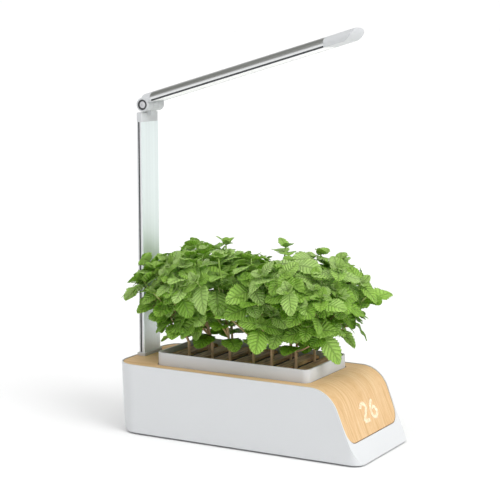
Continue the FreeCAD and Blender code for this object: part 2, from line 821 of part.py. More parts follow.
def make_post_profile():
    w = post_width / 2.0
    body = box(post_back_x, post_front_x - panel_thickness, -w, w, post_bottom, post_top)
    corners = [e for e in body.Edges if e.BoundBox.ZLength > 100 and e.BoundBox.XMax < post_mid_x]
    body = body.makeFillet(1.2, corners)
    body = body.cut(box(post_mid_x - 2.0, post_mid_x + 1.6, -13, 13, post_bottom - 1, post_top + 1))
    for s in (-1, 1):
        a, b = sorted((s * w + s, s * (w - 1.2)))
        body = body.cut(box(post_mid_x - 2.0, post_mid_x + 0.6, a, b, post_bottom - 1, post_top + 1))
    return body


def make_post_strips():
    w = post_width / 2.0
    strips = []
    for s in (-1, 1):
        a, b = sorted((s * (w - 0.3), s * (w - 1.2)))
        strips.append(box(post_mid_x - 2.0, post_mid_x + 0.6, a, b, deck_top + collar_height, post_top))
    return Part.makeCompound(strips)


def make_post_panel():
    w = post_width / 2.0
    return box(post_front_x - panel_thickness, post_front_x, -w, w, post_bottom, post_top)


def make_post_ribbon():
    return box(post_mid_x - 0.8, post_mid_x + 0.4, -9, 9, post_bottom, post_top)


def make_hinge_yoke():
    w = post_width / 2.0
    cap_top = axis_z - barrel_radius - 1.6
    cap = box(post_back_x, post_front_x, -w, w, post_top, cap_top)
    sides = [e for e in cap.Edges if e.BoundBox.ZLength > 5]
    cap = cap.makeFillet(1.2, sides)
    lug = along_y(axis_x, axis_z, -lug_half_width, lug_half_width, barrel_radius)
    web = box(post_back_x + 1, axis_x + barrel_radius - 4, -lug_half_width, lug_half_width, cap_top - 4,
              axis_z)
    yoke = join(cap, [lug, web])
    return yoke.cut(along_y(axis_x, axis_z, -30, 30, bolt_radius + shaft_gap))


def make_friction_washers():
    rings = []
    for s in (-1, 1):
        a, b = sorted((s * lug_half_width, s * (lug_half_width + washer_thickness)))
        ring = along_y(axis_x, axis_z, a, b, 8.0)
        rings.append(ring.cut(along_y(axis_x, axis_z, a - 1, b + 1, bolt_radius + shaft_gap)))
    return Part.makeCompound(rings)


def arm_place(shape):
    shape.rotate(V(0, 0, 0), V(0, 1, 0), -arm_tilt)
    shape.translate(V(axis_x, 0, axis_z))
    return shape


def arm_section(u0, u1, inset=0.0):
    # half ellipse over rounded lower edges
    w = arm_width / 2.0 - inset
    top = Part.Ellipse(V(u0, w, arm_widest), V(u0, 0, arm_crown - inset), V(u0, 0, arm_widest))
    heel = w - arm_heel
    middle = w - arm_heel * 0.3
    middle_z = (arm_low + arm_widest) / 2.0
    face = Part.Face(Part.Wire([
        Part.ArcOfEllipse(top, 0, math.pi).toShape(),
        Part.Arc(V(u0, -w, arm_widest), V(u0, -middle, middle_z), V(u0, -heel, arm_low)).toShape(),
        Part.makeLine(V(u0, -heel, arm_low), V(u0, heel, arm_low)),
        Part.Arc(V(u0, heel, arm_low), V(u0, middle, middle_z), V(u0, w, arm_widest)).toShape()]))
    return face.extrude(V(u1 - u0, 0, 0))


def knuckle(y0, y1):
    return Part.makeCylinder(barrel_radius, y1 - y0, V(0, y0, 0), V(0, 1, 0))


def make_arm_root():
    w = arm_width / 2.0
    inner = lug_half_width + washer_thickness + 0.05
    block = arm_section(0.0, arm_start)
    root = join(block, [knuckle(inner, w), knuckle(-w, -inner)])
    clear = Part.makeCylinder(barrel_radius + 0.8, 2 * inner, V(0, -inner, 0), V(0, 1, 0))
    root = root.cut(clear)
    root = root.cut(Part.makeCylinder(bolt_radius + 0.02, 60, V(0, -30, 0), V(0, 1, 0)))
    for s in (-1, 1):
        y = -w - 1 if s < 0 else w - 3.2
        root = root.cut(Part.makeCylinder(6.4, 4.2, V(0, y, 0), V(0, 1, 0)))
    return arm_place(root)


def make_hinge_bolt():
    w = arm_width / 2.0
    shank = Part.makeCylinder(bolt_radius, 2 * w - 1.6, V(0, -w + 0.8, 0), V(0, 1, 0))
    head = Part.makeCylinder(4.6, 2.0, V(0, -w + 0.4, 0), V(0, 1, 0))
    bolt = join(shank, [head])
    bolt = bolt.cut(Part.makeCylinder(1.8, 1.2, V(0, -w + 0.3, 0), V(0, 1, 0)))
    return arm_place(bolt)


def make_hinge_rings():
    w = arm_width / 2.0
    rings = []
    for y in (-w + 2.4, w - 3.2):
        ring = Part.makeCylinder(6.1, 0.8, V(0, y, 0), V(0, 1, 0))
        rings.append(arm_place(ring.cut(Part.makeCylinder(bolt_radius + 0.1, 2, V(0, y - 0.5, 0), V(0, 1, 0)))))
    return Part.makeCompound(rings)


def make_hinge_nut():
    w = arm_width / 2.0
    corners = [V(5.0 * math.cos(math.radians(60 * k)), w - 2.4, 5.0 * math.sin(math.radians(60 * k)))
               for k in range(7)]
    nut = Part.Face(Part.makePolygon(corners)).extrude(V(0, 2.0, 0))
    return arm_place(nut.cut(Part.makeCylinder(bolt_radius + 0.02, 6, V(0, w - 4, 0), V(0, 1, 0))))


def make_arm_profile():
    w = arm_width / 2.0
    arm = arm_section(arm_start, arm_end)
    arm = arm.cut(box(arm_start - 1, arm_end + 1, -w + 3.0, w - 3.0, arm_low - 1, arm_low + 7.6))
    arm = arm.cut(box(arm_start - 1, arm_end + 1, -w + 2.0, w - 2.0, arm_low + 0.4, arm_low + 2.2))
    return arm_place(arm.cut(box(arm_start - 1, arm_end + 1, -w + 2.2, w - 2.2, arm_low + 5.0, arm_low + 6.7)))


def make_led_diffuser():
    w = arm_width / 2.0
    return arm_place(box(arm_start + 0.3, arm_end - 0.3, -w + 2.1, w - 2.1, arm_low + 0.4, arm_low + 2.1))


def make_led_board():
    w = arm_width / 2.0
    return arm_place(box(arm_start + 0.3, arm_end - 0.3, -w + 2.3, w - 2.3, arm_low + 5.0, arm_low + 6.6))


def make_led_chips():
    chips = []
    count = int((arm_end - arm_start - 20.0) // led_pitch) + 1
    for k in range(count):
        u = arm_start + 10.0 + k * led_pitch
        for y in (-8.0, 8.0):
            chips.append(arm_place(box(u - 1.8, u + 1.8, y - 1.8, y + 1.8, arm_low + 4.0, arm_low + 5.0)))
    return Part.makeCompound(chips)


def make_arm_end_cap():
    # slanted front that bulges outwards and leaves the crown standing out furthest
    crown_end = (arm_tip, arm_crown - 2.5)
    low_end = (arm_tip - 21.0, arm_low)
    bulge = (arm_tip - 8.2, arm_low + 2.6)
    side = Part.Face(Part.Wire([
        Part.makeLine(V(arm_end, -40, arm_crown), V(arm_end, -40, arm_low)),
        Part.makeLine(V(arm_end, -40, arm_low), V(low_end[0], -40, low_end[1])),
        Part.Arc(V(low_end[0], -40, low_end[1]), V(bulge[0], -40, bulge[1]),
                 V(crown_end[0], -40, crown_end[1])).toShape(),
        Part.Arc(V(crown_end[0], -40, crown_end[1]), V(arm_tip - 1.2, -40, arm_crown - 0.7),
                 V(arm_tip - 4.0, -40, arm_crown)).toShape(),
        Part.makeLine(V(arm_tip - 4.0, -40, arm_crown), V(arm_end, -40, arm_crown))]))
    cap = arm_section(arm_end, arm_tip + 1.0).common(side.extrude(V(0, 80, 0)))
    plug = box(arm_end - 8.0, arm_end + 1.0, -14, 14, arm_low + 2.4, arm_low + 4.7)
    return arm_place(join(cap, [plug]))


def export(name, shape):
    shape.exportStep("parts/" + name + ".step")
    kinds = [s.isValid() for s in shape.Solids]
    print(name, len(shape.Solids), all(kinds), round(shape.Volume, 1), len(shape.Faces))


def main():
    makers = {
        "outer_shell": make_outer_shell, "wood_deck": make_wood_deck, "base_pan": make_base_pan,
        "rubber_feet": make_rubber_feet, "base_screws": make_base_screws,
        "water_tank": make_water_tank, "tank_seal": make_tank_seal,
        "planting_tray": make_planting_tray, "planting_board": make_planting_board,
        "sponge_strips": make_sponge_strips, "pump_housing": make_pump_housing,
        "pump_cover": make_pump_cover, "pump_shaft": make_pump_shaft,
        "pump_impeller": make_pump_impeller, "pump_outlet_tube": make_outlet_tube,
        "pump_stops": make_suction_feet, "float_stem": make_float_stem,
        "float_ring": make_float_ring, "float_clip": make_float_clip,
        "control_board": make_control_board, "board_components": make_board_chips,
        "board_screws": make_board_screws, "display_light_guide": make_light_guide,
        "display_board": make_display_board, "display_leds": make_display_leds,
        "dc_inlet_jack": make_inlet_jack, "dc_inlet_nut": make_inlet_nut,
        "post_bracket": make_post_bracket, "post_collar": make_post_collar,
        "post_profile": make_post_profile, "post_side_strips": make_post_strips,
        "post_front_panel": make_post_panel, "post_ribbon_cable": make_post_ribbon,
        "hinge_yoke": make_hinge_yoke, "hinge_friction_washers": make_friction_washers,
        "arm_root": make_arm_root, "hinge_bolt": make_hinge_bolt, "hinge_rings": make_hinge_rings,
        "hinge_nut": make_hinge_nut, "arm_profile": make_arm_profile,
        "led_diffuser": make_led_diffuser, "led_board": make_led_board,
        "led_chips": make_led_chips, "arm_end_cap": make_arm_end_cap,
    }
    for name, maker in makers.items():
        export(name, maker())
    shapes = {}
    for number, (stems, leaves) in enumerate(plant_layout(), 1):
        print("leaves", len(leaves))
        export("mint_plant_%02d" % number, make_plant(stems, leaves, shapes))


main()
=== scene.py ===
import json
import math
import random

import bmesh
import bpy
from bpy.props import FloatProperty, FloatVectorProperty, IntProperty, PointerProperty
from bpy.types import Operator, Panel, PropertyGroup
from mathutils import Matrix, Vector


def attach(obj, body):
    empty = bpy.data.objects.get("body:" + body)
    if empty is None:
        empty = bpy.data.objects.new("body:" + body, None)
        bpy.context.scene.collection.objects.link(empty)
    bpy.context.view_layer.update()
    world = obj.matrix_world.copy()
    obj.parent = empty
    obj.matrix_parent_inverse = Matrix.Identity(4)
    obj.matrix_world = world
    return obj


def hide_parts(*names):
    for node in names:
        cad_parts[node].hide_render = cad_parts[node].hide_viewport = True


bl_info = {
    "name": "Countertop hydroponic garden",
    "version": (1, 0, 0),
    "blender": (4, 5, 0),
    "location": "View3D > Sidebar > Garden",
    "description": "Builds the looks of a countertop hydroponic garden around its CAD frame",
    "category": "Object",
}

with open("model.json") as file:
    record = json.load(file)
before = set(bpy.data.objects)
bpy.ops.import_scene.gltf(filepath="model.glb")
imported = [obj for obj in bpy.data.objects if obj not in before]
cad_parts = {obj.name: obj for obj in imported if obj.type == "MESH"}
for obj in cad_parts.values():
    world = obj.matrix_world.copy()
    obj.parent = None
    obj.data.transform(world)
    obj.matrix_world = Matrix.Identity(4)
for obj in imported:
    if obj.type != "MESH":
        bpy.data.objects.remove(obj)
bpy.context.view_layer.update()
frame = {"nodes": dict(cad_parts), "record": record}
MM = 0.001

# sizes shared with the CAD, in millimetres
BODY_LENGTH = 380.0
BODY_HEIGHT = 99.0
BODY_FLOOR = 2.5
RIM_STEP = 0.8
BEND_RADIUS = 42.0
SLOPE_ANGLE = math.radians(68.3)
STRAIGHT_END_Z = 34.0
FLARE_RADIUS = 125.0
TRAY_X0, TRAY_X1 = -131.0, 104.0
TRAY_HALF_WIDTH = 59.0
TRAY_TOP = 115.6
BAR_PITCH, BAR_GAP, GAP_COUNT = 32.5, 8.0, 6
BOARD_BOTTOM, BOARD_PLATE, BOARD_TOP = 99.0, 3.0, 110.0
SPONGE_TOP, SPONGE_BOTTOM = 107.0, 78.0
POST_FRONT_X, POST_WIDTH = -175.5, 41.0
PLANT_SEED = 26
ARM_TILT = math.radians(16.0)
HINGE_X, HINGE_Z = -174.5, 452.0
ARM_START, ARM_END = 15.0, 292.0
ARM_ALONG = (math.cos(ARM_TILT), 0.0, math.sin(ARM_TILT))
LEAF_LONG, LEAF_MID, LEAF_SHORT = 39.0, 31.0, 20.0
CANOPY_CENTRE = (-12.0, 0.0, 191.0)
CANOPY_HALF = (163.0, 82.0, 61.0)
STEM_RADIUS = 1.7
BLADE_THICKNESS = 0.3
DIGIT_Z, DIGIT_Y = 56.0, 4.0
DIGIT_SPREAD, DIGIT_STROKE, DIGIT_MIDDLE = 1.25, 0.150, 0.68
DIGIT_LIFT = 0.12

# studio: each light's name, direction, power and softness in degrees, then the world's levels
LIGHTS = (("key", (2.1, -0.5, 1.5), 1.42, 38.0), ("top", (0.3, -0.5, 2.2), 1.75, 80.0))
FILL_STRENGTH = 0.42
ROOM_STRENGTH = 1.02
FLOOR_REACH = 40.0

# camera: pixels of a square frame, degrees and metres
FRAME = 500.0
CAMERA_FOCAL = 1565.957
CAMERA_CENTRE = (269.217, 241.973)
CAMERA_YAW, CAMERA_PITCH = 28.853, 8.327
CAMERA_DISTANCE = 2.114418
CAMERA_AIM = (0.014196, 0.0, 0.271453)


class GardenPlantSettings(PropertyGroup):
    rows: IntProperty(
        name="Leaf rows", description="Rows of faces along a long leaf",
        default=34, min=8, max=40)
    columns: IntProperty(
        name="Leaf columns", description="Rows of faces across a leaf",
        default=6, min=4, max=12)
    serration: FloatProperty(
        name="Serration", description="Depth of the teeth as a share of the leaf's half width",
        default=0.12, min=0.0, max=0.2, subtype="FACTOR")
    shoots: IntProperty(
        name="Canopy shoots", description="Shoots that fill the space between the solids' leaves",
        default=124, min=0, max=300)


class GardenLookSettings(PropertyGroup):
    shell_color: FloatVectorProperty(
        name="Shell colour", description="Colour of the moulded white body",
        default=(0.675, 0.69, 0.705), size=3, min=0.0, max=1.0, subtype="COLOR")
    tray_color: FloatVectorProperty(
        name="Tray colour", description="Colour of the planting tray",
        default=(0.62, 0.635, 0.65), size=3, min=0.0, max=1.0, subtype="COLOR")
    digit_height: FloatProperty(
        name="Digit height", description="Height of the lit numerals, measured down the slope",
        default=0.025, min=0.005, max=0.04, precision=4, subtype="DISTANCE", unit="LENGTH")
    digit_glow: FloatProperty(
        name="Digit glow", description="Brightness of the numerals under the veneer",
        default=1.0, min=0.0, max=10.0)
    lamp_glow: FloatProperty(
        name="Lamp glow", description="Brightness of the light strip under the arm",
        default=0.4, min=0.0, max=20.0)


def new_group(name, inputs, outputs):
    group = bpy.data.node_groups.new(name, "ShaderNodeTree")
    for label, kind, value in inputs:
        socket = group.interface.new_socket(label, in_out="INPUT", socket_type=kind)
        if value is not None:
            socket.default_value = value
    for label, kind in outputs:
        group.interface.new_socket(label, in_out="OUTPUT", socket_type=kind)
    return group, group.nodes.new("NodeGroupInput"), group.nodes.new("NodeGroupOutput")


class ShaderTree:
    # the nodes and links of one material, world or group
    def __init__(self, tree):
        self.nodes = tree.nodes
        self.new = tree.nodes.new
        self.link = tree.links.new

    def feed(self, socket, value):
        # a socket takes either a plain value or the output of another node
        if isinstance(value, (int, float, tuple)):
            socket.default_value = value
        else:
            self.link(value, socket)

    def math(self, operation, a, b=None, clamp=False):
        node = self.new("ShaderNodeMath")
        node.operation = operation
        node.use_clamp = clamp
        self.feed(node.inputs[0], a)
        if b is not None:
            self.feed(node.inputs[1], b)
        return node.outputs[0]

    def mix(self, factor, a, b, blend="MIX"):
        node = self.new("ShaderNodeMix")
        node.data_type = "RGBA"
        node.blend_type = blend
        for index, value in ((0, factor), (6, a), (7, b)):
            self.feed(node.inputs[index], value)
        return node.outputs[2]

    def ramp(self, factor, stops):
        node = self.new("ShaderNodeValToRGB")
        elements = node.color_ramp.elements
        elements[0].position, elements[0].color = stops[0]
        elements[1].position, elements[1].color = stops[-1]
        for position, color in stops[1:-1]:
            element = elements.new(position)
            element.color = color
        self.link(factor, node.inputs[0])
        return node.outputs[0]

    def noise(self, vector, scale, detail=3.0, rough=0.5):
        node = self.new("ShaderNodeTexNoise")
        self.link(vector, node.inputs["Vector"])
        self.feed(node.inputs["Scale"], scale)
        node.inputs["Detail"].default_value = detail
        node.inputs["Roughness"].default_value = rough
        return node.outputs[0]

    def combine(self, x, y, z):
        node = self.new("ShaderNodeCombineXYZ")
        for index, value in enumerate((x, y, z)):
            self.feed(node.inputs[index], value)
        return node.outputs[0]

    def place(self):
        return self.new("ShaderNodeTexCoord").outputs["Object"]

    def split(self, vector):
        node = self.new("ShaderNodeSeparateXYZ")
        self.link(vector, node.inputs[0])
        return node.outputs

    def tone(self):
        # the colours that a piece's vertices carry
        node = self.new("ShaderNodeAttribute")
        node.attribute_name = "tone"
        parts = self.new("ShaderNodeSeparateColor")
        self.link(node.outputs["Color"], parts.inputs[0])
        return parts.outputs

    def bump(self, strength, distance, height, shader, normal=None):
        node = self.new("ShaderNodeBump")
        node.inputs["Strength"].default_value = strength
        node.inputs["Distance"].default_value = distance
        self.link(height, node.inputs["Height"])
        if normal is not None:
            self.link(normal, node.inputs["Normal"])
        self.link(node.outputs[0], shader.inputs["Normal"])
        return node.outputs[0]


def moulded_group():
    name = "Moulded surface"
    if name in bpy.data.node_groups:
        return bpy.data.node_groups[name]
    group, start, end = new_group(
        name,
        [("Color", "NodeSocketColor", (0.8, 0.8, 0.8, 1)), ("Roughness", "NodeSocketFloat", 0.4),
         ("Mottle", "NodeSocketFloat", 0.03), ("Scale", "NodeSocketFloat", 900.0),
         ("Bump", "NodeSocketFloat", 0.05), ("Edge", "NodeSocketFloat", 0.0006)],
        [("Color", "NodeSocketColor"), ("Roughness", "NodeSocketFloat"), ("Normal", "NodeSocketVector")])
    tree = ShaderTree(group)
    place = tree.place()
    broad = tree.noise(place, 14.0, 2.0)
    fine = tree.noise(place, start.outputs["Scale"], 2.0)
    centred = tree.math("SUBTRACT", broad, 0.5)
    shift = tree.math("MULTIPLY", centred, start.outputs["Mottle"])
    factor = tree.math("ADD", shift, 1.0)
    value = tree.new("ShaderNodeHueSaturation")
    tree.link(factor, value.inputs["Value"])
    tree.link(start.outputs["Color"], value.inputs["Color"])
    tree.link(value.outputs[0], end.inputs["Color"])
    wear = tree.math("MULTIPLY", tree.math("SUBTRACT", fine, 0.5), 0.12)
    rough = tree.math("ADD", start.outputs["Roughness"], wear, True)
    tree.link(rough, end.inputs["Roughness"])
    bevel = tree.new("ShaderNodeBevel")
    bevel.samples = 6
    tree.link(start.outputs["Edge"], bevel.inputs["Radius"])
    bump = tree.new("ShaderNodeBump")
    bump.inputs["Distance"].default_value = 0.0002
    tree.link(start.outputs["Bump"], bump.inputs["Strength"])
    tree.link(fine, bump.inputs["Height"])
    tree.link(bevel.outputs[0], bump.inputs["Normal"])
    tree.link(bump.outputs[0], end.inputs["Normal"])
    return group


def material(name):
    mat = bpy.data.materials.new("garden_" + name)
    mat.use_nodes = True
    tree = ShaderTree(mat.node_tree)
    return mat, tree, tree.nodes["Principled BSDF"]


def moulded(name, color, roughness, mottle=0.03, scale=900.0, bump=0.05, edge=0.0006, metallic=0.0,
            emission=0.0, coat=0.0):
    mat, tree, shader = material(name)
    surface = tree.new("ShaderNodeGroup")
    surface.node_tree = moulded_group()
    surface.inputs["Color"].default_value = (*color, 1)
    surface.inputs["Roughness"].default_value = roughness
    surface.inputs["Mottle"].default_value = mottle
    surface.inputs["Scale"].default_value = scale
    surface.inputs["Bump"].default_value = bump
    surface.inputs["Edge"].default_value = edge
    tree.link(surface.outputs["Color"], shader.inputs["Base Color"])
    tree.link(surface.outputs["Roughness"], shader.inputs["Roughness"])
    tree.link(surface.outputs["Normal"], shader.inputs["Normal"])
    shader.inputs["Metallic"].default_value = metallic
    shader.inputs["Coat Weight"].default_value = coat
    if emission:
        shader.inputs["Emission Color"].default_value = (*color, 1)
        shader.inputs["Emission Strength"].default_value = emission
    return mat


def wood_material():
    mat, tree, shader = material("maple_veneer")
    place = tree.place()
    split = tree.split(place)
    # the grain runs along the deck and on down the curved front
    along = tree.math("SUBTRACT", split[0], split[2])
    slow = tree.combine(tree.math("MULTIPLY", along, 5.0), tree.math("MULTIPLY", split[1], 26.0), 0.0)
    drift = tree.noise(slow, 1.0, 3.0)
    across = tree.math("ADD", tree.math("MULTIPLY", split[1], 210.0), tree.math("MULTIPLY", drift, 9.0))
    streaks = tree.noise(tree.combine(tree.math("MULTIPLY", along, 9.0), across, 0.0), 1.0, 6.0, 0.62)
    fine = tree.combine(tree.math("MULTIPLY", along, 60.0), tree.math("MULTIPLY", split[1], 2400.0), 0.0)
    pores = tree.noise(fine, 1.0, 2.0)
    base = tree.ramp(streaks, [(0.28, (0.56, 0.35, 0.15, 1)), (0.44, (0.70, 0.46, 0.235, 1)),
                               (0.60, (0.76, 0.54, 0.305, 1)), (0.76, (0.81, 0.62, 0.39, 1))])
    flecks = tree.ramp(pores, [(0.36, (0.80, 0.74, 0.66, 1)), (0.50, (1, 1, 1, 1))])
    color = tree.mix(0.55, base, flecks, "MULTIPLY")
    # painted shade: the wood turns deep brown along its edges, standing in for the shade in the seam round
    # the deck
    bevel = tree.new("ShaderNodeBevel")
    bevel.samples = 8
    bevel.inputs["Radius"].default_value = 0.0018
    facing = tree.new("ShaderNodeVectorMath")
    facing.operation = "DOT_PRODUCT"
    tree.link(bevel.outputs[0], facing.inputs[0])
    tree.link(tree.new("ShaderNodeNewGeometry").outputs["Normal"], facing.inputs[1])
    edge = tree.math("MULTIPLY", tree.math("SUBTRACT", 1.0, facing.outputs["Value"]), 9.0, True)
    color = tree.mix(edge, color, (0.09, 0.04, 0.014, 1))
    tree.link(color, shader.inputs["Base Color"])
    rough = tree.math("ADD", tree.math("MULTIPLY", pores, 0.16), 0.45)
    tree.link(rough, shader.inputs["Roughness"])
    tree.bump(0.12, 0.0002, pores, shader, bevel.outputs[0])
    shader.inputs["Specular IOR Level"].default_value = 0.14
    return mat


def board_material():
    mat, tree, shader = material("brown_board")
    place = tree.place()
    split = tree.split(place)
    vector = tree.combine(*(tree.math("MULTIPLY", split[k], (260.0, 38.0, 200.0)[k]) for k in range(3)))
    streaks = tree.noise(vector, 1.0, 5.0, 0.6)
    color = tree.ramp(streaks, [(0.30, (0.16, 0.080, 0.030, 1)), (0.50, (0.42, 0.235, 0.10, 1)),
                                (0.70, (0.66, 0.42, 0.20, 1))])
    tree.link(color, shader.inputs["Base Color"])
    shader.inputs["Roughness"].default_value = 0.62
    tree.bump(0.5, 0.0008, streaks, shader)
    return mat


def sponge_material():
    mat, tree, shader = material("sponge")
    place = tree.place()
    cells = tree.new("ShaderNodeTexVoronoi")
    cells.inputs["Scale"].default_value = 900.0
    tree.link(place, cells.inputs["Vector"])
    broad = tree.noise(place, 60.0, 4.0)
    color = tree.ramp(broad, [(0.3, (0.022, 0.014, 0.009, 1)), (0.7, (0.085, 0.055, 0.032, 1))])
    tree.link(color, shader.inputs["Base Color"])
    shader.inputs["Roughness"].default_value = 0.95
    tree.bump(0.9, 0.0006, cells.outputs["Distance"], shader)
    return mat


def brushed(name, color, roughness, axis, fine=420.0, metallic=1.0):
    # drawn metal: fine lines along one axis
    mat, tree, shader = material(name)
    place = tree.place()
    along = tree.new("ShaderNodeVectorMath")
    along.operation = "PROJECT"
    along.inputs[1].default_value = axis
    tree.link(place, along.inputs[0])
    scaled = []
    for vector, scale in ((place, fine), (along.outputs[0], -0.99 * fine)):
        step = tree.new("ShaderNodeVectorMath")
        step.operation = "SCALE"
        step.inputs["Scale"].default_value = scale
        tree.link(vector, step.inputs[0])
        scaled.append(step.outputs[0])
    total = tree.new("ShaderNodeVectorMath")
    tree.link(scaled[0], total.inputs[0])
    tree.link(scaled[1], total.inputs[1])
    lines = tree.noise(total.outputs[0], 1.0, 3.0, 0.6)
    shade = tree.ramp(lines, [(0.3, tuple(c * 0.94 for c in color) + (1,)), (0.7, (*color, 1))])
    tree.link(shade, shader.inputs["Base Color"])
    rough = tree.math("ADD", tree.math("MULTIPLY", lines, 0.10), roughness - 0.05)
    tree.link(rough, shader.inputs["Roughness"])
    shader.inputs["Metallic"].default_value = metallic
    tree.bump(0.03, 0.0001, lines, shader)
    return mat


def leaf_material():
    mat, tree, shader = material("mint_leaf")
    uv = tree.new("ShaderNodeUVMap")
    uv.uv_map = "leaf"
    split = tree.split(uv.outputs[0])
    along = split[0]
    across = tree.math("ABSOLUTE", tree.math("SUBTRACT", split[1], 0.5))
    # side veins leave the midrib at a slant; between them the blade swells
    phase = tree.math("SUBTRACT", tree.math("MULTIPLY", along, 7.5), tree.math("MULTIPLY", across, 3.4))
    wave = tree.math("ABSOLUTE", tree.math("SINE", tree.math("MULTIPLY", phase, math.pi)))
    swell = tree.math("POWER", wave, 0.6)
    midrib = tree.math("MULTIPLY", across, 16.0, True)
    place = tree.place()
    net = tree.new("ShaderNodeTexVoronoi")
    net.feature = "DISTANCE_TO_EDGE"
    net.inputs["Scale"].default_value = 420.0
    tree.link(place, net.inputs["Vector"])
    cells = tree.math("MULTIPLY", net.outputs["Distance"], 2.2, True)
    relief = tree.math("MULTIPLY", swell, midrib)
    relief = tree.math("ADD", relief, tree.math("MULTIPLY", cells, 0.35))
    tones = tree.tone()
    patch = tree.noise(place, 55.0, 2.0)
    mixed = tree.math("ADD", tree.math("MULTIPLY", tones[0], 0.72), tree.math("MULTIPLY", patch, 0.34))
    green = tree.ramp(mixed, [(0.10, (0.075, 0.20, 0.014, 1)), (0.34, (0.27, 0.51, 0.050, 1)),
                              (0.58, (0.50, 0.78, 0.15, 1)), (0.86, (0.68, 0.90, 0.34, 1))])
    # painted shade: the side-vein furrows and the band beside the midrib are coloured darker green, as
    # shade in the creases
    between = tree.math("MULTIPLY", tree.math("MULTIPLY", wave, 3.0, True), midrib)
    furrow_shade = tree.math("SUBTRACT", 1.0, between)
    color = tree.mix(tree.math("MULTIPLY", furrow_shade, 0.46), green, (0.06, 0.16, 0.012, 1))
    rib = tree.math("SUBTRACT", 1.0, tree.math("MULTIPLY", across, 40.0, True))
    color = tree.mix(tree.math("MULTIPLY", rib, 0.35), color, (0.36, 0.50, 0.16, 1))
    tree.link(color, shader.inputs["Base Color"])
    shader.inputs["Roughness"].default_value = 0.36
    shader.inputs["Specular IOR Level"].default_value = 0.5
    normal = tree.bump(0.75, 0.0024, relief, shader)
    glow = tree.new("ShaderNodeBsdfTranslucent")
    tree.link(tree.mix(0.5, color, (0.62, 0.88, 0.08, 1)), glow.inputs["Color"])
    tree.link(normal, glow.inputs["Normal"])
    both = tree.new("ShaderNodeMixShader")
    both.inputs[0].default_value = 0.42
    tree.link(shader.outputs[0], both.inputs[1])
    tree.link(glow.outputs[0], both.inputs[2])
    tree.link(both.outputs[0], tree.nodes["Material Output"].inputs["Surface"])
    return mat


def stem_material():
    mat, tree, shader = material("mint_stem")
    tones = tree.tone()
    place = tree.place()
    patch = tree.noise(place, 180.0, 3.0)
    uneven = tree.math("MULTIPLY", tree.math("SUBTRACT", patch, 0.5), 0.3)
    height = tree.math("ADD", tones[1], uneven)
    color = tree.ramp(height, [(0.0, (0.66, 0.47, 0.28, 1)), (0.35, (0.58, 0.37, 0.20, 1)),
                               (0.62, (0.46, 0.42, 0.15, 1)), (1.0, (0.40, 0.60, 0.13, 1))])
    tree.link(color, shader.inputs["Base Color"])
    shader.inputs["Roughness"].default_value = 0.5
    tree.bump(0.4, 0.0003, patch, shader)
    return mat


def glow_material(strength):
    # numerals lit from behind through the veneer: warm, soft at their edges, broken up by the grain
    mat, tree, shader = material("digit_glow")
    place = tree.place()
    grain = tree.noise(place, 320.0, 3.0)
    shade = tree.ramp(grain, [(0.3, (0.90, 0.69, 0.46, 1)), (0.7, (1.0, 0.84, 0.63, 1))])
    tree.link(shade, shader.inputs["Base Color"])
    tree.link(shade, shader.inputs["Emission Color"])
    shader.inputs["Emission Strength"].default_value = 0.22 * strength
    shader.inputs["Roughness"].default_value = 0.5
    tones = tree.tone()
    soft = tree.math("POWER", tones[0], 1.3)
    alpha = tree.math("MULTIPLY", soft, tree.math("ADD", grain, 0.30), True)
    tree.link(alpha, shader.inputs["Alpha"])
    return mat


def build_materials(look):
    return {
        "white_shell": moulded("white_shell", look.shell_color, 0.34, 0.02, 700.0, 0.03, 0.0009, coat=0.1),
        "maple_veneer": wood_material(),
        "black_rubber": moulded("black_rubber", (0.022, 0.022, 0.024), 0.8, 0.2, 1500.0, 0.3),
        "steel": brushed("steel", (0.62, 0.62, 0.64), 0.34, (0.0, 1.0, 0.0)),
        "grey_tank": moulded("grey_tank", (0.20, 0.205, 0.21), 0.5, 0.1, 1200.0, 0.15),
        "tray_plastic": moulded("tray_plastic", look.tray_color, 0.40, 0.03, 900.0, 0.05, 0.0007),
        "brown_board": board_material(),
        "sponge": sponge_material(),
        "dark_plastic": moulded("dark_plastic", (0.035, 0.036, 0.04), 0.42, 0.1, 1300.0, 0.1, 0.0003),
        "green_board": moulded("green_board", (0.012, 0.10, 0.035), 0.3, 0.25, 500.0, 0.1),
        "light_guide": moulded("light_guide", (0.88, 0.88, 0.87), 0.3, 0.02, 900.0, 0.03, 0.0003,
                               emission=0.25 * look.lamp_glow),
        "led_glow": moulded("led_glow", (1.0, 0.94, 0.82), 0.4, 0.02, emission=2.0),
        "bracket_steel": moulded("bracket_steel", (0.42, 0.43, 0.44), 0.42, 0.1, metallic=0.9),
        "post_white": moulded("post_white", (0.70, 0.71, 0.73), 0.36, 0.03, metallic=0.25),
        "mirror_panel": brushed("mirror_panel", (0.84, 0.905, 0.90), 0.54, (0.0, 0.0, 1.0), 200.0),
        "cable_grey": moulded("cable_grey", (0.25, 0.25, 0.26), 0.6),
        "arm_aluminium": brushed("arm_aluminium", (0.74, 0.755, 0.76), 0.30, ARM_ALONG),
        "white_board": moulded("white_board", (0.80, 0.80, 0.79), 0.4),
        "mint_leaf": leaf_material(),
    }


def gap_xs():
    mid = (TRAY_X0 + TRAY_X1) / 2.0
    return [mid + (i - (GAP_COUNT - 1) / 2.0) * BAR_PITCH for i in range(GAP_COUNT)]


def root_places():
    places = []
    for i, x in enumerate(gap_xs()):
        shift = 4.0 if i % 2 else -4.0
        places.append((x, -27.0 + shift))
        places.append((x, 27.0 + shift))
    return places


def leaf_axes(azimuth, rise):
    d = (math.cos(azimuth) * math.cos(rise), math.sin(azimuth) * math.cos(rise), math.sin(rise))
    s = (-math.sin(azimuth), math.cos(azimuth), 0.0)
    n = (-math.cos(azimuth) * math.sin(rise), -math.sin(azimuth) * math.sin(rise), math.cos(rise))
    return d, s, n


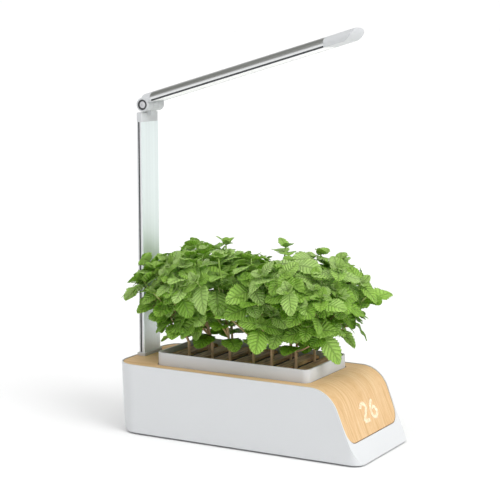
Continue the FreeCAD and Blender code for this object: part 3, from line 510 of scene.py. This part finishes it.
def leaf_samples(base, azimuth, rise, length):
    d, s, n = leaf_axes(azimuth, rise)
    points = []
    for step in range(1, 7):
        u = 0.16 * step
        spread = 0.34 * math.sin(math.pi * min(1.0, u * 1.08) ** 0.8)
        drop = -0.42 * (u - 0.25) ** 2 * length
        for w in (-spread, 0.0, spread):
            points.append(tuple(base[k] + d[k] * u * length + s[k] * w * length + n[k] * drop
                                for k in range(3)))
    return points


def stem_samples(points):
    result = []
    for a, b in zip(points[:-1], points[1:]):
        span = math.dist(a, b)
        count = max(2, int(span / 4.0))
        for i in range(count + 1):
            result.append(tuple(a[k] + (b[k] - a[k]) * i / count for k in range(3)))
    return result


def leaf_allowed(points):
    for x, y, z in points:
        if x < -196.0 or x > 178.0 or abs(y) > 96.0:
            return False
        if z < TRAY_TOP + 4.0 and (abs(y) > TRAY_HALF_WIDTH - 5 or x < TRAY_X0 + 5 or x > TRAY_X1 - 5):
            if z < BODY_HEIGHT + 7.0:
                return False
            if abs(abs(y) - TRAY_HALF_WIDTH) < 7 or abs(x - TRAY_X0) < 7 or abs(x - TRAY_X1) < 7:
                return False
        if z < BOARD_TOP + 5.0:
            return False
        if x < POST_FRONT_X + 9.0 and abs(y) < POST_WIDTH / 2.0 + 9.0:
            return False
    return True


def near(a, b, limit):
    return (a[0] - b[0]) ** 2 + (a[1] - b[1]) ** 2 + (a[2] - b[2]) ** 2 < limit * limit


def leaf_is_free(base, points, taken, stems):
    for q in stems:
        if near(q, base, 60.0) and any(near(q, a, 7.2) for a in points):
            return False
    for other_base, others in taken:
        if not near(other_base, base, 90.0):
            continue
        limit = 3.5 if near(other_base, base, 0.01) else 6.3
        for a in points:
            for b in others:
                if near(a, b, limit):
                    return False
    return True


def place_leaf(rng, p, azimuth, size, leaves, taken, stems, tuft):
    for attempt in range(12):
        az = azimuth + rng.uniform(-0.25, 0.25) * (1 + attempt * 0.35)
        rise = math.radians(rng.uniform(35, 60) if tuft else rng.uniform(8, 40))
        if attempt > 4:
            size = size * 0.93
        points = leaf_samples(p, az, rise, size)
        outer = points[3:]
        if leaf_allowed(outer) and leaf_is_free(p, outer, taken, stems):
            taken.append((p, outer))
            leaves.append((p, az, rise, size))
            return


def plant_stems(rng):
    mid_x = (TRAY_X0 + TRAY_X1) / 2.0
    plants = []
    for rx, ry in root_places():
        out_x = (rx - mid_x) / (TRAY_X1 - mid_x)
        out_y = ry / TRAY_HALF_WIDTH
        reach_x = 36.0 if out_x > 0 else 58.0
        crown = (rx + out_x * reach_x + rng.uniform(-5, 5), ry + out_y * 44.0 + rng.uniform(-5, 5),
                 252.0 - 20.0 * out_x * out_x - 10.0 * abs(out_y) + rng.uniform(-12, 10))
        plants.append([[(rx, ry, BOARD_BOTTOM + BOARD_PLATE), (rx, ry, 128.0), crown]])
    for index, (rx, ry) in enumerate(root_places()):
        out_x = (rx - mid_x) / (TRAY_X1 - mid_x)
        out_y = ry / TRAY_HALF_WIDTH
        low, crown = plants[index][0][1:]
        for side in (-1, 1):
            t = 0.12 if side < 0 else 0.3
            base = tuple(low[k] + (crown[k] - low[k]) * t for k in range(3))
            az = math.atan2(out_y * 1.4 + rng.uniform(-0.5, 0.5), out_x + 0.01 + rng.uniform(-0.5, 0.5))
            az += side * 0.75
            reach = rng.uniform(26, 40)
            end = (base[0] + math.cos(az) * reach, base[1] + math.sin(az) * reach,
                   base[2] + rng.uniform(30, 62))
            stem = stem_samples([base, end])
            clear = all(not near(a, b, 9.0) for i, group in enumerate(plants) if i != index
                        for other in group for b in stem_samples(other) for a in stem)
            if clear and leaf_allowed([end]):
                plants[index].append([base, end])
    return plants


def plant_layout():
    rng = random.Random(PLANT_SEED)
    every = plant_stems(rng)
    sampled = [[q for stem in stems for q in stem_samples(stem)] for stems in every]
    taken = []
    plants = []
    for index, stems in enumerate(every):
        others = [q for i, group in enumerate(sampled) if i != index for q in group]
        start, tip = stems[0][1], stems[0][2]
        leaves = []
        count = 7
        for level in range(count):
            t = 0.1 + 0.84 * level / (count - 1)
            p = tuple(start[k] + (tip[k] - start[k]) * t for k in range(3))
            turn = rng.uniform(0, 0.6) + (math.pi / 2.0) * (level % 2) + index * 0.7
            size = LEAF_LONG if level < count - 2 else LEAF_MID
            for half_turn in (0.0, math.pi):
                place_leaf(rng, p, turn + half_turn, size, leaves, taken, others, False)
        for k in range(4):
            place_leaf(rng, tip, index * 1.3 + k * math.pi / 2.0, LEAF_SHORT, leaves, taken, others, True)
        for base, end in stems[1:]:
            az = math.atan2(end[1] - base[1], end[0] - base[0])
            for t in (0.55, 1.0):
                p = tuple(base[k] + (end[k] - base[k]) * t for k in range(3))
                turn = az + (math.pi / 2.0 if t < 1.0 else 0.0)
                for half_turn in (0.0, math.pi):
                    place_leaf(rng, p, turn + half_turn, LEAF_MID, leaves, taken, others, False)
        plants.append((stems, leaves))
    return plants


def spread(value, power):
    return math.copysign(abs(value) ** power, value)


def canopy_tips(count, rng):
    # tips spread evenly over a rounded block, from its top down past its widest part
    turn = math.pi * (3.0 - math.sqrt(5.0))
    tips = []
    for i in range(count):
        up = 1.0 - (i + 0.5) / count * 1.32
        across = math.sqrt(max(0.0, 1.0 - up * up))
        way = Vector((math.cos(turn * i) * across, math.sin(turn * i) * across, up))
        depth = 1.0 if i % 3 else 0.78
        # the canopy draws in towards its foot
        draw = 1.0 - 0.38 * max(0.0, 0.30 - up)
        reach = (depth * draw, depth * draw, depth)
        place = [CANOPY_CENTRE[k] + CANOPY_HALF[k] * reach[k] * spread(way[k], 0.62) for k in range(3)]
        place = [place[k] + rng.uniform(-9, 9) for k in range(3)]
        place[2] += rng.uniform(-14, 4) if up > 0.3 else 0.0
        tips.append((Vector(place), way))
    return tips


def blade_clear(points):
    for p in points:
        if p.x < -188.0 or p.x > 188.0 or abs(p.y) > 103.0 or p.z > 264.0:
            return False
        if p.x < POST_FRONT_X + 5.0 and abs(p.y) < POST_WIDTH / 2.0 + 6.0:
            return False
        past_y = abs(p.y) - TRAY_HALF_WIDTH
        past_x = max(TRAY_X0 - p.x, p.x - TRAY_X1)
        past = max(past_x, past_y)
        if past < -5.0 and p.z < BOARD_TOP + 4.0:
            return False
        if -5.0 <= past < 4.0 and p.z < TRAY_TOP + 2.5:
            return False
        if past >= 4.0 and p.z < BODY_HEIGHT + 5.0:
            return False
    return True


class Blade:
    # one leaf: where it starts, its length and the three directions that it follows
    def __init__(self, origin, along, normal, length, sag):
        self.origin = Vector(origin)
        self.along = Vector(along).normalized()
        self.side = Vector(normal).cross(self.along).normalized()
        self.normal = self.along.cross(self.side)
        self.length = length
        self.sag = sag

    def point(self, u, side, lift):
        bend = -0.26 * max(0.0, u - 0.1) ** 2 * self.length
        fall = Vector((0.0, 0.0, -self.sag * u * u * self.length))
        spot = self.origin + self.along * (u * self.length) + self.side * side
        return spot + self.normal * (lift + bend) + fall

    def samples(self):
        half = 0.3 * self.length
        widths = [(u, half * (1 - u * u * 0.8)) for u in (0.35, 0.65, 1.0)]
        return [self.point(u, side, 0.0) for u, width in widths for side in (-width, 0.0, width)]


def cad_blades(leaves):
    # the CAD's leaves, hanging a little lower where there is room
    blades = []
    for base, azimuth, rise, size in leaves:
        droop = 0.24 if len(blades) % 2 else 0.05
        for lower in (droop, 0.0):
            d, s, n = leaf_axes(azimuth, rise - lower)
            blade = Blade(base, d, n, size, 0.04 + 0.05 * (len(blades) % 3))
            if blade_clear(blade.samples()) or lower == 0.0:
                blades.append(blade)
                break
    return blades


def shoot_blades(tip, axis, rng):
    blades = []
    spin = rng.uniform(0, 2 * math.pi)
    first = axis.orthogonal().normalized()
    pairs = ((rng.uniform(31, 40), 4, 10.0), (rng.uniform(23, 31), 16, 3.5))
    for level, (size, climb, back) in enumerate(pairs):
        for k in range(2):
            turn = spin + math.pi * k + math.pi / 2.0 * level + rng.uniform(-0.25, 0.25)
            out = Matrix.Rotation(turn, 3, axis) @ first
            for attempt in range(5):
                e = math.radians(climb + 13 * attempt + rng.uniform(-6, 8))
                length = size * (1.0 - 0.1 * attempt)
                along = out * math.cos(e) + axis * math.sin(e)
                normal = axis * math.cos(e) - out * math.sin(e)
                blade = Blade(tip - axis * back, along, normal, length, rng.uniform(-0.08, 0.20))
                if blade_clear(blade.samples()):
                    blades.append(blade)
                    break
    for k in range(5):
        turn = spin + 2 * math.pi / 5 * k + rng.uniform(-0.3, 0.3)
        out = Matrix.Rotation(turn, 3, axis) @ first
        e = math.radians(rng.uniform(30, 68))
        blade = Blade(tip, out * math.cos(e) + axis * math.sin(e), axis * math.cos(e) - out * math.sin(e),
                      rng.uniform(9, 17), 0.05)
        if blade_clear(blade.samples()):
            blades.append(blade)
    return blades


def canopy_shoots(plants, count):
    # each shoot starts on the nearest plant's stem and ends in its tip's leaves
    rng = random.Random(PLANT_SEED + 1)
    shoots = [[] for plant in plants]
    for tip, way in canopy_tips(count, rng):
        if not blade_clear([tip]):
            continue
        best = None
        for index, (stems, leaves) in enumerate(plants):
            low, crown = Vector(stems[0][1]), Vector(stems[0][2])
            drop = 22.0 + 0.4 * (tip - low.lerp(crown, 0.6)).xy.length
            t = min(0.92, max(0.02, (tip.z - drop - low.z) / (crown.z - low.z)))
            start = low.lerp(crown, t)
            gap = (tip - start).length
            if best is None or gap < best[0]:
                best = (gap, index, start, (crown - low).normalized())
        gap, index, start, climb = best
        middle = start.lerp(tip, 0.5) + Vector((0, 0, -0.10 * gap)) + Vector((way.x, way.y, 0)) * 0.08 * gap
        path = [start.lerp(middle, t).lerp(middle.lerp(tip, t), t) for t in (0, 0.2, 0.4, 0.6, 0.8, 1.0)]
        lean = Vector((rng.uniform(-0.55, 0.55), rng.uniform(-0.6, 0.45), 0.0))
        axis = (Vector((way.x * 0.6, way.y * 0.6, max(0.0, way.z) * 0.4 + 0.66)) + lean).normalized()
        shoots[index].append((path, shoot_blades(tip, axis, rng)))
    return shoots


def finish_mesh(bm, name, mats, smooth=True):
    mesh = bpy.data.meshes.new(name)
    bm.normal_update()
    bm.to_mesh(mesh)
    bm.free()
    for mat in mats:
        mesh.materials.append(mat)
    for polygon in mesh.polygons:
        polygon.use_smooth = smooth
    obj = bpy.data.objects.new(name, mesh)
    bpy.context.scene.collection.objects.link(obj)
    return obj


def sheet_grid(bm, rows, columns, place):
    # a grid made by the mesh operator, then every vertex moved to place(u, v)
    made = bmesh.ops.create_grid(bm, x_segments=rows, y_segments=columns, size=1.0)
    verts = made["verts"]
    params = {}
    for vert in verts:
        u, v = (vert.co.x + 1.0) / 2.0, vert.co.y
        params[vert] = (u, v)
        vert.co = place(u, v)
    return verts, params


def tube(bm, points, radii, sides, material_index, tone_layer, tones):
    # rings along the points, joined one to the next, with a cap on each end
    made_faces = []
    rings = []
    for index, point in enumerate(points):
        ahead = Vector(points[min(index + 1, len(points) - 1)]) - Vector(points[max(index - 1, 0)])
        turn = ahead.to_track_quat("Z", "Y").to_matrix().to_4x4()
        spin = Matrix.Translation(Vector(point)) @ turn
        made = bmesh.ops.create_circle(bm, cap_ends=False, segments=sides, radius=radii[index], matrix=spin)
        for vert in made["verts"]:
            vert[tone_layer] = tones[index]
        rings.append(list(dict.fromkeys(edge for vert in made["verts"] for edge in vert.link_edges)))
    for low, high in zip(rings[:-1], rings[1:]):
        made_faces += bmesh.ops.bridge_loops(bm, edges=low + high)["faces"]
    for ring in (rings[0], rings[-1]):
        made_faces += bmesh.ops.contextual_create(bm, geom=ring)["faces"]
    bmesh.ops.recalc_face_normals(bm, faces=made_faces)
    for face in made_faces:
        face.material_index = material_index


def leaf_outline(u):
    # half width of a leaf as a share of its length, after a short stalk
    if u < 0.07:
        return 0.018
    t = (u - 0.07) / 0.93
    return 0.018 + 0.38 * math.sin(math.pi * t ** 0.84) ** 0.62


def add_blade(bm, layers, blade, rng, plant):
    uv_layer, tone_layer = layers
    length = blade.length
    twist = rng.uniform(-0.3, 0.3)
    cup = rng.uniform(-0.04, 0.24)
    ripple = rng.uniform(0.01, 0.035)
    phase = rng.uniform(0, 6.28)
    teeth = 10 if length > 22 else 6
    rows = plant.rows if length > 18 else plant.rows // 2

    def place(u, v):
        half = leaf_outline(min(1.0, max(0.0, u)))
        if abs(v) > 0.99 and 0.1 < u < 0.99:
            half *= 1.0 + plant.serration * (1.0 - 2.0 * ((u * teeth) % 1.0))
        side = v * half * length
        lift = cup * abs(side) ** 1.25 * 0.55
        lift += ripple * length * math.sin(u * 15.0 + phase + (1.5 if v > 0 else 0.0)) * v * v * half * 2.4
        angle = twist * u
        return blade.point(u, side * math.cos(angle), lift + side * math.sin(angle) * 0.6) * MM

    verts, params = sheet_grid(bm, rows, plant.columns, place)
    # painted light: leaves higher up get a lighter tone, as if lit from above; small leaves are a little
    # lighter and the rest of the tone is random
    height_light = min(1.0, max(0.0, (blade.origin.z - 120.0) / 130.0))
    shade = min(1.0, 0.06 + 0.36 * height_light + 0.58 * rng.random() + (0.12 if length < 18 else 0.0))
    for vert in verts:
        vert[tone_layer] = (shade, height_light, 0.0, 1.0)
    for face in dict.fromkeys(face for vert in verts for face in vert.link_faces):
        for loop in face.loops:
            u, v = params[loop.vert]
            loop[uv_layer].uv = (u, v * 0.5 + 0.5)


def add_stem(bm, layers, points, thick, thin):
    kept = []
    for q in points:
        if not kept or (Vector(q) - kept[-1]).length > 0.5:
            kept.append(Vector(q))
    radii = []
    tones = []
    for i, q in enumerate(kept):
        share = i / (len(kept) - 1)
        node = 1.0 + 0.12 * math.sin(i * 1.7 + q.x)
        radii.append((thick + (thin - thick) * share) * node * MM)
        tones.append((0.5, min(1.0, max(0.0, (q.z - 102.0) / 125.0)), 0.0, 1.0))
    tube(bm, [q * MM for q in kept], radii, 8, 1, layers[1], tones)


def build_plant(number, stems, leaves, shoots, mats, plant):
    bm = bmesh.new()
    layers = (bm.loops.layers.uv.new("leaf"), bm.verts.layers.float_color.new("tone"))
    # the stems come first, because their operators are quicker while the mesh is small
    for index, stem in enumerate(stems):
        thick = STEM_RADIUS * (1.15 if index == 0 else 0.8)
        add_stem(bm, layers, stem_samples(stem), thick, STEM_RADIUS * 0.6)
    for path, blades in shoots:
        add_stem(bm, layers, path, 1.15, 0.8)
    rng = random.Random(1000 + number)
    for blade in cad_blades(leaves):
        add_blade(bm, layers, blade, rng, plant)
    for stem in stems:
        for blade in shoot_blades(Vector(stem[-1]), Vector((0.1, 0.05, 1.0)).normalized(), rng)[4:]:
            add_blade(bm, layers, blade, rng, plant)
    for path, blades in shoots:
        for blade in blades:
            add_blade(bm, layers, blade, rng, plant)
    obj = finish_mesh(bm, "mint_%02d" % number, mats)
    wall = obj.modifiers.new("Blade thickness", "SOLIDIFY")
    wall.thickness = BLADE_THICKNESS * MM
    wall.offset = 0.0
    return obj


def build_sponges(mat):
    bm = bmesh.new()
    rng = random.Random(5)
    for x in gap_xs():
        seat = BOARD_BOTTOM + BOARD_PLATE
        for x_half, y_half, low, high in ((BAR_GAP / 2 - 0.4, 47.8, seat + 0.05, SPONGE_TOP),
                                          (2.6, 45.5, SPONGE_BOTTOM, seat + 0.05)):
            size = Vector((2 * x_half, 2 * y_half, high - low)) * MM
            spot = Vector((x, 0.0, (low + high) / 2.0)) * MM
            shape = Matrix.Translation(spot) @ Matrix.Diagonal((*size, 1))
            made = bmesh.ops.create_cube(bm, size=1.0, matrix=shape)
            edges = list(dict.fromkeys(e for v in made["verts"] for e in v.link_edges))
            long_edges = [e for e in edges if abs(e.verts[0].co.y - e.verts[1].co.y) > 0.05]
            bmesh.ops.subdivide_edges(bm, edges=long_edges, cuts=40, use_grid_fill=True)
    for vert in bm.verts:
        vert.co.z += rng.uniform(-0.35, 0.0) * MM
        vert.co.x += rng.uniform(-0.15, 0.15) * MM
    return finish_mesh(bm, "foam_strips", [mat])


def slope_point(z):
    # point on the straight part of the front curve, and the directions down it and out of it
    z1 = BODY_HEIGHT - BEND_RADIUS * (1.0 - math.cos(SLOPE_ANGLE))
    low = math.acos(math.cos(SLOPE_ANGLE) + (STRAIGHT_END_Z - BODY_FLOOR) / FLARE_RADIUS)
    straight = (z1 - STRAIGHT_END_Z) / math.tan(SLOPE_ANGLE)
    flare = FLARE_RADIUS * (math.sin(SLOPE_ANGLE) - math.sin(low))
    x1 = BODY_LENGTH / 2.0 - flare - straight
    out = Vector((math.sin(SLOPE_ANGLE), 0.0, math.cos(SLOPE_ANGLE)))
    down = Vector((math.cos(SLOPE_ANGLE), 0.0, -math.sin(SLOPE_ANGLE)))
    return Vector((x1 + (z1 - z) / math.tan(SLOPE_ANGLE), 0.0, z)) - out * RIM_STEP, down, out


def arc(cx, cy, rx, ry, start, end, count):
    return [(cx + rx * math.cos(math.radians(start + (end - start) * i / count)),
             cy + ry * math.sin(math.radians(start + (end - start) * i / count))) for i in range(count + 1)]


def digit_paths():
    two = arc(0.29, 0.72, 0.25, 0.25, 172, -28, 14) + [(0.30, 0.34), (0.06, 0.04)]
    bar = [(0.06, 0.03), (0.56, 0.03)]
    six = arc(0.55, 0.36, 0.47, 0.62, 106, 180, 10) + arc(0.33, 0.30, 0.25, 0.27, 180, 540, 22)
    return [(0.0, two), (0.0, bar), (0.80, six)]


def build_digits(mat, height):
    # flat strokes just over the veneer, brightest along their middle
    centre, down, out = slope_point(DIGIT_Z)
    side = Vector((0.0, 1.0, 0.0))
    bm = bmesh.new()
    tone_layer = bm.verts.layers.float_color.new("tone")
    across = ((-1.0, 0.0), (-0.45, 0.9), (0.0, 1.0), (0.45, 0.9), (1.0, 0.0))
    for number, (shift, path) in enumerate(digit_paths()):
        last = len(path) - 1

        def place(u, v):
            i = round(u * last)
            step = across[round((v + 1.0) * 2.0)][0]
            ax, ay = path[max(i - 1, 0)]
            bx, by = path[min(i + 1, last)]
            length = math.hypot(bx - ax, by - ay) or 1.0
            px = path[i][0] - (by - ay) / length * DIGIT_STROKE * step + shift
            py = path[i][1] + (bx - ax) / length * DIGIT_STROKE * step
            spot = centre + side * ((px - DIGIT_MIDDLE) * DIGIT_SPREAD * height + DIGIT_Y)
            return (spot - down * ((py - 0.5) * height) + out * (DIGIT_LIFT + 0.02 * number)) * MM

        verts, params = sheet_grid(bm, last, len(across) - 1, place)
        for vert in verts:
            vert[tone_layer] = (across[round((params[vert][1] + 1.0) * 2.0)][1], 0.0, 0.0, 1.0)
    bm.normal_update()
    bmesh.ops.reverse_faces(bm, faces=[face for face in bm.faces if face.normal.dot(out) < 0.0])
    return finish_mesh(bm, "display_digits", [mat])


def arm_matrix():
    # from the arm's own axes, in millimetres, to the scene
    turn = Matrix.Rotation(-ARM_TILT, 4, "Y")
    return Matrix.Diagonal((MM, MM, MM, 1)) @ Matrix.Translation((HINGE_X, 0.0, HINGE_Z)) @ turn


def build_arm_gap_shade(mat):
    # painted shade: dark strips where the gap between the aluminium and the light strip lies in shade,
    # along both edges
    bm = bmesh.new()
    for side in (-1.0, 1.0):
        size = Matrix.Diagonal((ARM_END - ARM_START - 2.0, 0.7, 2.2, 1.0))
        spot = Matrix.Translation(((ARM_START + ARM_END) / 2.0, side * (POST_WIDTH / 2.0 - 0.2), 2.3))
        bmesh.ops.create_cube(bm, size=1.0, matrix=arm_matrix() @ spot @ size)
    return finish_mesh(bm, "arm_gap_shade_strips", [mat], smooth=False)


def build_hinge_trims(mat):
    # dark ring round each end of the hinge bolt
    bm = bmesh.new()
    for side in (-1.0, 1.0):
        for radius in (4.9, 7.2):
            spot = Matrix.Translation((0.0, side * (POST_WIDTH / 2.0 - 0.4), 0.0))
            ring = arm_matrix() @ spot @ Matrix.Rotation(math.pi / 2, 4, "X")
            bmesh.ops.create_circle(bm, cap_ends=False, segments=48, radius=radius, matrix=ring)
        edges = [e for e in bm.edges if not e.link_faces and e.verts[0].co.y * side > 0]
        made = bmesh.ops.bridge_loops(bm, edges=edges)
        lifted = bmesh.ops.extrude_face_region(bm, geom=made["faces"])
        moved = [v for v in lifted["geom"] if isinstance(v, bmesh.types.BMVert)]
        bmesh.ops.translate(bm, verts=moved, vec=(0.0, side * 0.7 * MM, 0.0))
    bmesh.ops.recalc_face_normals(bm, faces=bm.faces[:])
    return finish_mesh(bm, "hinge_trims", [mat], smooth=False)


class GARDEN_OT_finishes(Operator):
    """Give every CAD node the procedural material of its slot"""
    bl_idname = "garden.finishes"
    bl_label = "Finishes"

    def execute(self, context):
        mats = build_materials(context.scene.garden_look)
        slots = {s["node"]: s["material_slot"] for s in frame["record"]["subparts"]}
        for name, obj in frame["nodes"].items():
            if slots[name] not in mats:
                raise RuntimeError("no material for slot " + slots[name])
            obj.data.materials.clear()
            obj.data.materials.append(mats[slots[name]])
        return {"FINISHED"}


class GARDEN_OT_display(Operator):
    """Build the lit numerals that show through the veneer"""
    bl_idname = "garden.display"
    bl_label = "Display numerals"

    def execute(self, context):
        look = context.scene.garden_look
        digits = build_digits(glow_material(look.digit_glow), look.digit_height / MM)
        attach(digits, "base")
        return {"FINISHED"}


class GARDEN_OT_lamp_trims(Operator):
    """Build the dark strips of painted shade under the lamp arm and the dark rings of its hinge"""
    bl_idname = "garden.lamp_trims"
    bl_label = "Lamp trims"

    def execute(self, context):
        mat = bpy.data.materials["garden_dark_plastic"]
        for piece in (build_arm_gap_shade(mat), build_hinge_trims(mat)):
            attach(piece, "lamp_arm")
        return {"FINISHED"}


class GARDEN_OT_sponges(Operator):
    """Build the foam strips between the bars of the planting board"""
    bl_idname = "garden.sponges"
    bl_label = "Foam strips"

    def execute(self, context):
        strips = build_sponges(bpy.data.materials["garden_sponge"])
        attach(strips, "planting_unit")
        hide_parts("sponge_strips")
        return {"FINISHED"}


class GARDEN_OT_plants(Operator):
    """Grow the mint plants on the stems that the CAD holds"""
    bl_idname = "garden.plants"
    bl_label = "Mint plants"

    def execute(self, context):
        plant = context.scene.garden_plant
        mats = [bpy.data.materials["garden_mint_leaf"], stem_material()]
        plants = plant_layout()
        shoots = canopy_shoots(plants, plant.shoots)
        for number, (stems, leaves) in enumerate(plants, 1):
            obj = build_plant(number, stems, leaves, shoots[number - 1], mats, plant)
            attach(obj, "planting_unit")
            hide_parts("mint_plant_%02d" % number)
        return {"FINISHED"}


class GARDEN_OT_stage(Operator):
    """Lay the pale floor, the soft studio lights and the camera of the photo"""
    bl_idname = "garden.stage"
    bl_label = "Stage"

    def execute(self, context):
        scene = context.scene
        build_floor()
        build_lights(scene)
        build_camera(scene)
        scene.view_settings.view_transform = "Standard"
        scene.view_settings.look = "None"
        return {"FINISHED"}


def build_floor():
    bm = bmesh.new()
    bmesh.ops.create_grid(bm, x_segments=2, y_segments=2, size=FLOOR_REACH)
    mat, tree, shader = material("floor_white")
    shader.inputs["Base Color"].default_value = (0.9, 0.9, 0.9, 1)
    shader.inputs["Roughness"].default_value = 0.7
    shader.inputs["Specular IOR Level"].default_value = 0.0
    finish_mesh(bm, "floor", [mat], smooth=False)


def eye_rays(tree):
    path = tree.new("ShaderNodeLightPath")
    seen = tree.math("MAXIMUM", path.outputs["Is Camera Ray"], path.outputs["Is Glossy Ray"])
    return tree.math("MAXIMUM", seen, path.outputs["Is Transmission Ray"])


def far_light(name, spot, power, softness):
    # a distant lamp with a wide face, so that every part of the floor is lit alike
    data = bpy.data.lights.new(name, "SUN")
    data.energy = power
    data.angle = math.radians(softness)
    obj = bpy.data.objects.new(name, data)
    obj.location = spot
    obj.rotation_euler = (-Vector(spot)).to_track_quat("-Z", "Y").to_euler()
    bpy.context.scene.collection.objects.link(obj)


def build_lights(scene):
    for name, spot, power, softness in LIGHTS:
        far_light(name, spot, power, softness)
    world = bpy.data.worlds.new("studio")
    world.use_nodes = True
    tree = ShaderTree(world.node_tree)
    fill = tree.nodes["Background"]
    fill.inputs["Color"].default_value = (1, 1, 1, 1)
    fill.inputs["Strength"].default_value = FILL_STRENGTH
    # mirrors see a white room with a darker ceiling
    split = tree.split(tree.new("ShaderNodeTexCoord").outputs["Generated"])
    shade = tree.ramp(split[2], [(0.16, (1, 1, 1, 1)), (0.50, (0.20, 0.20, 0.18, 1))])
    path = tree.new("ShaderNodeLightPath")
    white = tree.mix(path.outputs["Is Camera Ray"], shade, (1, 1, 1, 1))
    bright = tree.new("ShaderNodeBackground")
    tree.link(white, bright.inputs["Color"])
    bright.inputs["Strength"].default_value = ROOM_STRENGTH
    both = tree.new("ShaderNodeMixShader")
    tree.link(eye_rays(tree), both.inputs[0])
    tree.link(fill.outputs[0], both.inputs[1])
    tree.link(bright.outputs[0], both.inputs[2])
    tree.link(both.outputs[0], tree.nodes["World Output"].inputs["Surface"])
    scene.world = world


def build_camera(scene):
    # a camera fitted to the photo: focal length and centre in pixels of its frame
    focal, cx, cy = CAMERA_FOCAL, *CAMERA_CENTRE
    yaw, pitch = math.radians(CAMERA_YAW), math.radians(CAMERA_PITCH)
    right = Vector((math.cos(yaw), math.sin(yaw), 0.0))
    back = Vector((math.sin(yaw) * math.cos(pitch), -math.cos(yaw) * math.cos(pitch), math.sin(pitch)))
    up = back.cross(right)
    spot = Vector(CAMERA_AIM) + back * CAMERA_DISTANCE
    data = bpy.data.cameras.new("photo_camera")
    data.sensor_fit = "HORIZONTAL"
    data.sensor_width = 36.0
    data.lens = focal / FRAME * data.sensor_width
    data.shift_x = (FRAME / 2.0 - cx) / FRAME
    data.shift_y = (cy - FRAME / 2.0) / FRAME
    data.clip_end = 50.0
    obj = bpy.data.objects.new("photo_camera", data)
    obj.matrix_world = Matrix(((right.x, up.x, back.x, spot.x), (right.y, up.y, back.y, spot.y),
                               (right.z, up.z, back.z, spot.z), (0, 0, 0, 1)))
    scene.collection.objects.link(obj)
    scene.camera = obj


class GARDEN_PT_panel(Panel):
    """Steps that build the garden, in order"""
    bl_idname = "GARDEN_PT_panel"
    bl_label = "Hydroponic garden"
    bl_space_type = "VIEW_3D"
    bl_region_type = "UI"
    bl_category = "Garden"

    def draw(self, context):
        layout = self.layout
        for step in STEPS:
            layout.operator(step.bl_idname)
        look, plant = context.scene.garden_look, context.scene.garden_plant
        for name in ("shell_color", "tray_color", "digit_height", "digit_glow", "lamp_glow"):
            layout.prop(look, name)
        for name in ("shoots", "serration", "rows", "columns"):
            layout.prop(plant, name)


STEPS = (GARDEN_OT_finishes, GARDEN_OT_display, GARDEN_OT_lamp_trims, GARDEN_OT_sponges,
         GARDEN_OT_plants, GARDEN_OT_stage)
CLASSES = (GardenPlantSettings, GardenLookSettings) + STEPS + (GARDEN_PT_panel,)


def register():
    for cls in CLASSES:
        bpy.utils.register_class(cls)
    bpy.types.Scene.garden_plant = PointerProperty(type=GardenPlantSettings)
    bpy.types.Scene.garden_look = PointerProperty(type=GardenLookSettings)


def unregister():
    del bpy.types.Scene.garden_look
    del bpy.types.Scene.garden_plant
    for cls in reversed(CLASSES):
        bpy.utils.unregister_class(cls)


def main():
    register()
    bpy.ops.garden.finishes()
    bpy.ops.garden.display()
    bpy.ops.garden.lamp_trims()
    bpy.ops.garden.sponges()
    bpy.ops.garden.plants()
    bpy.ops.garden.stage()


if __name__ == "__main__":
    main()
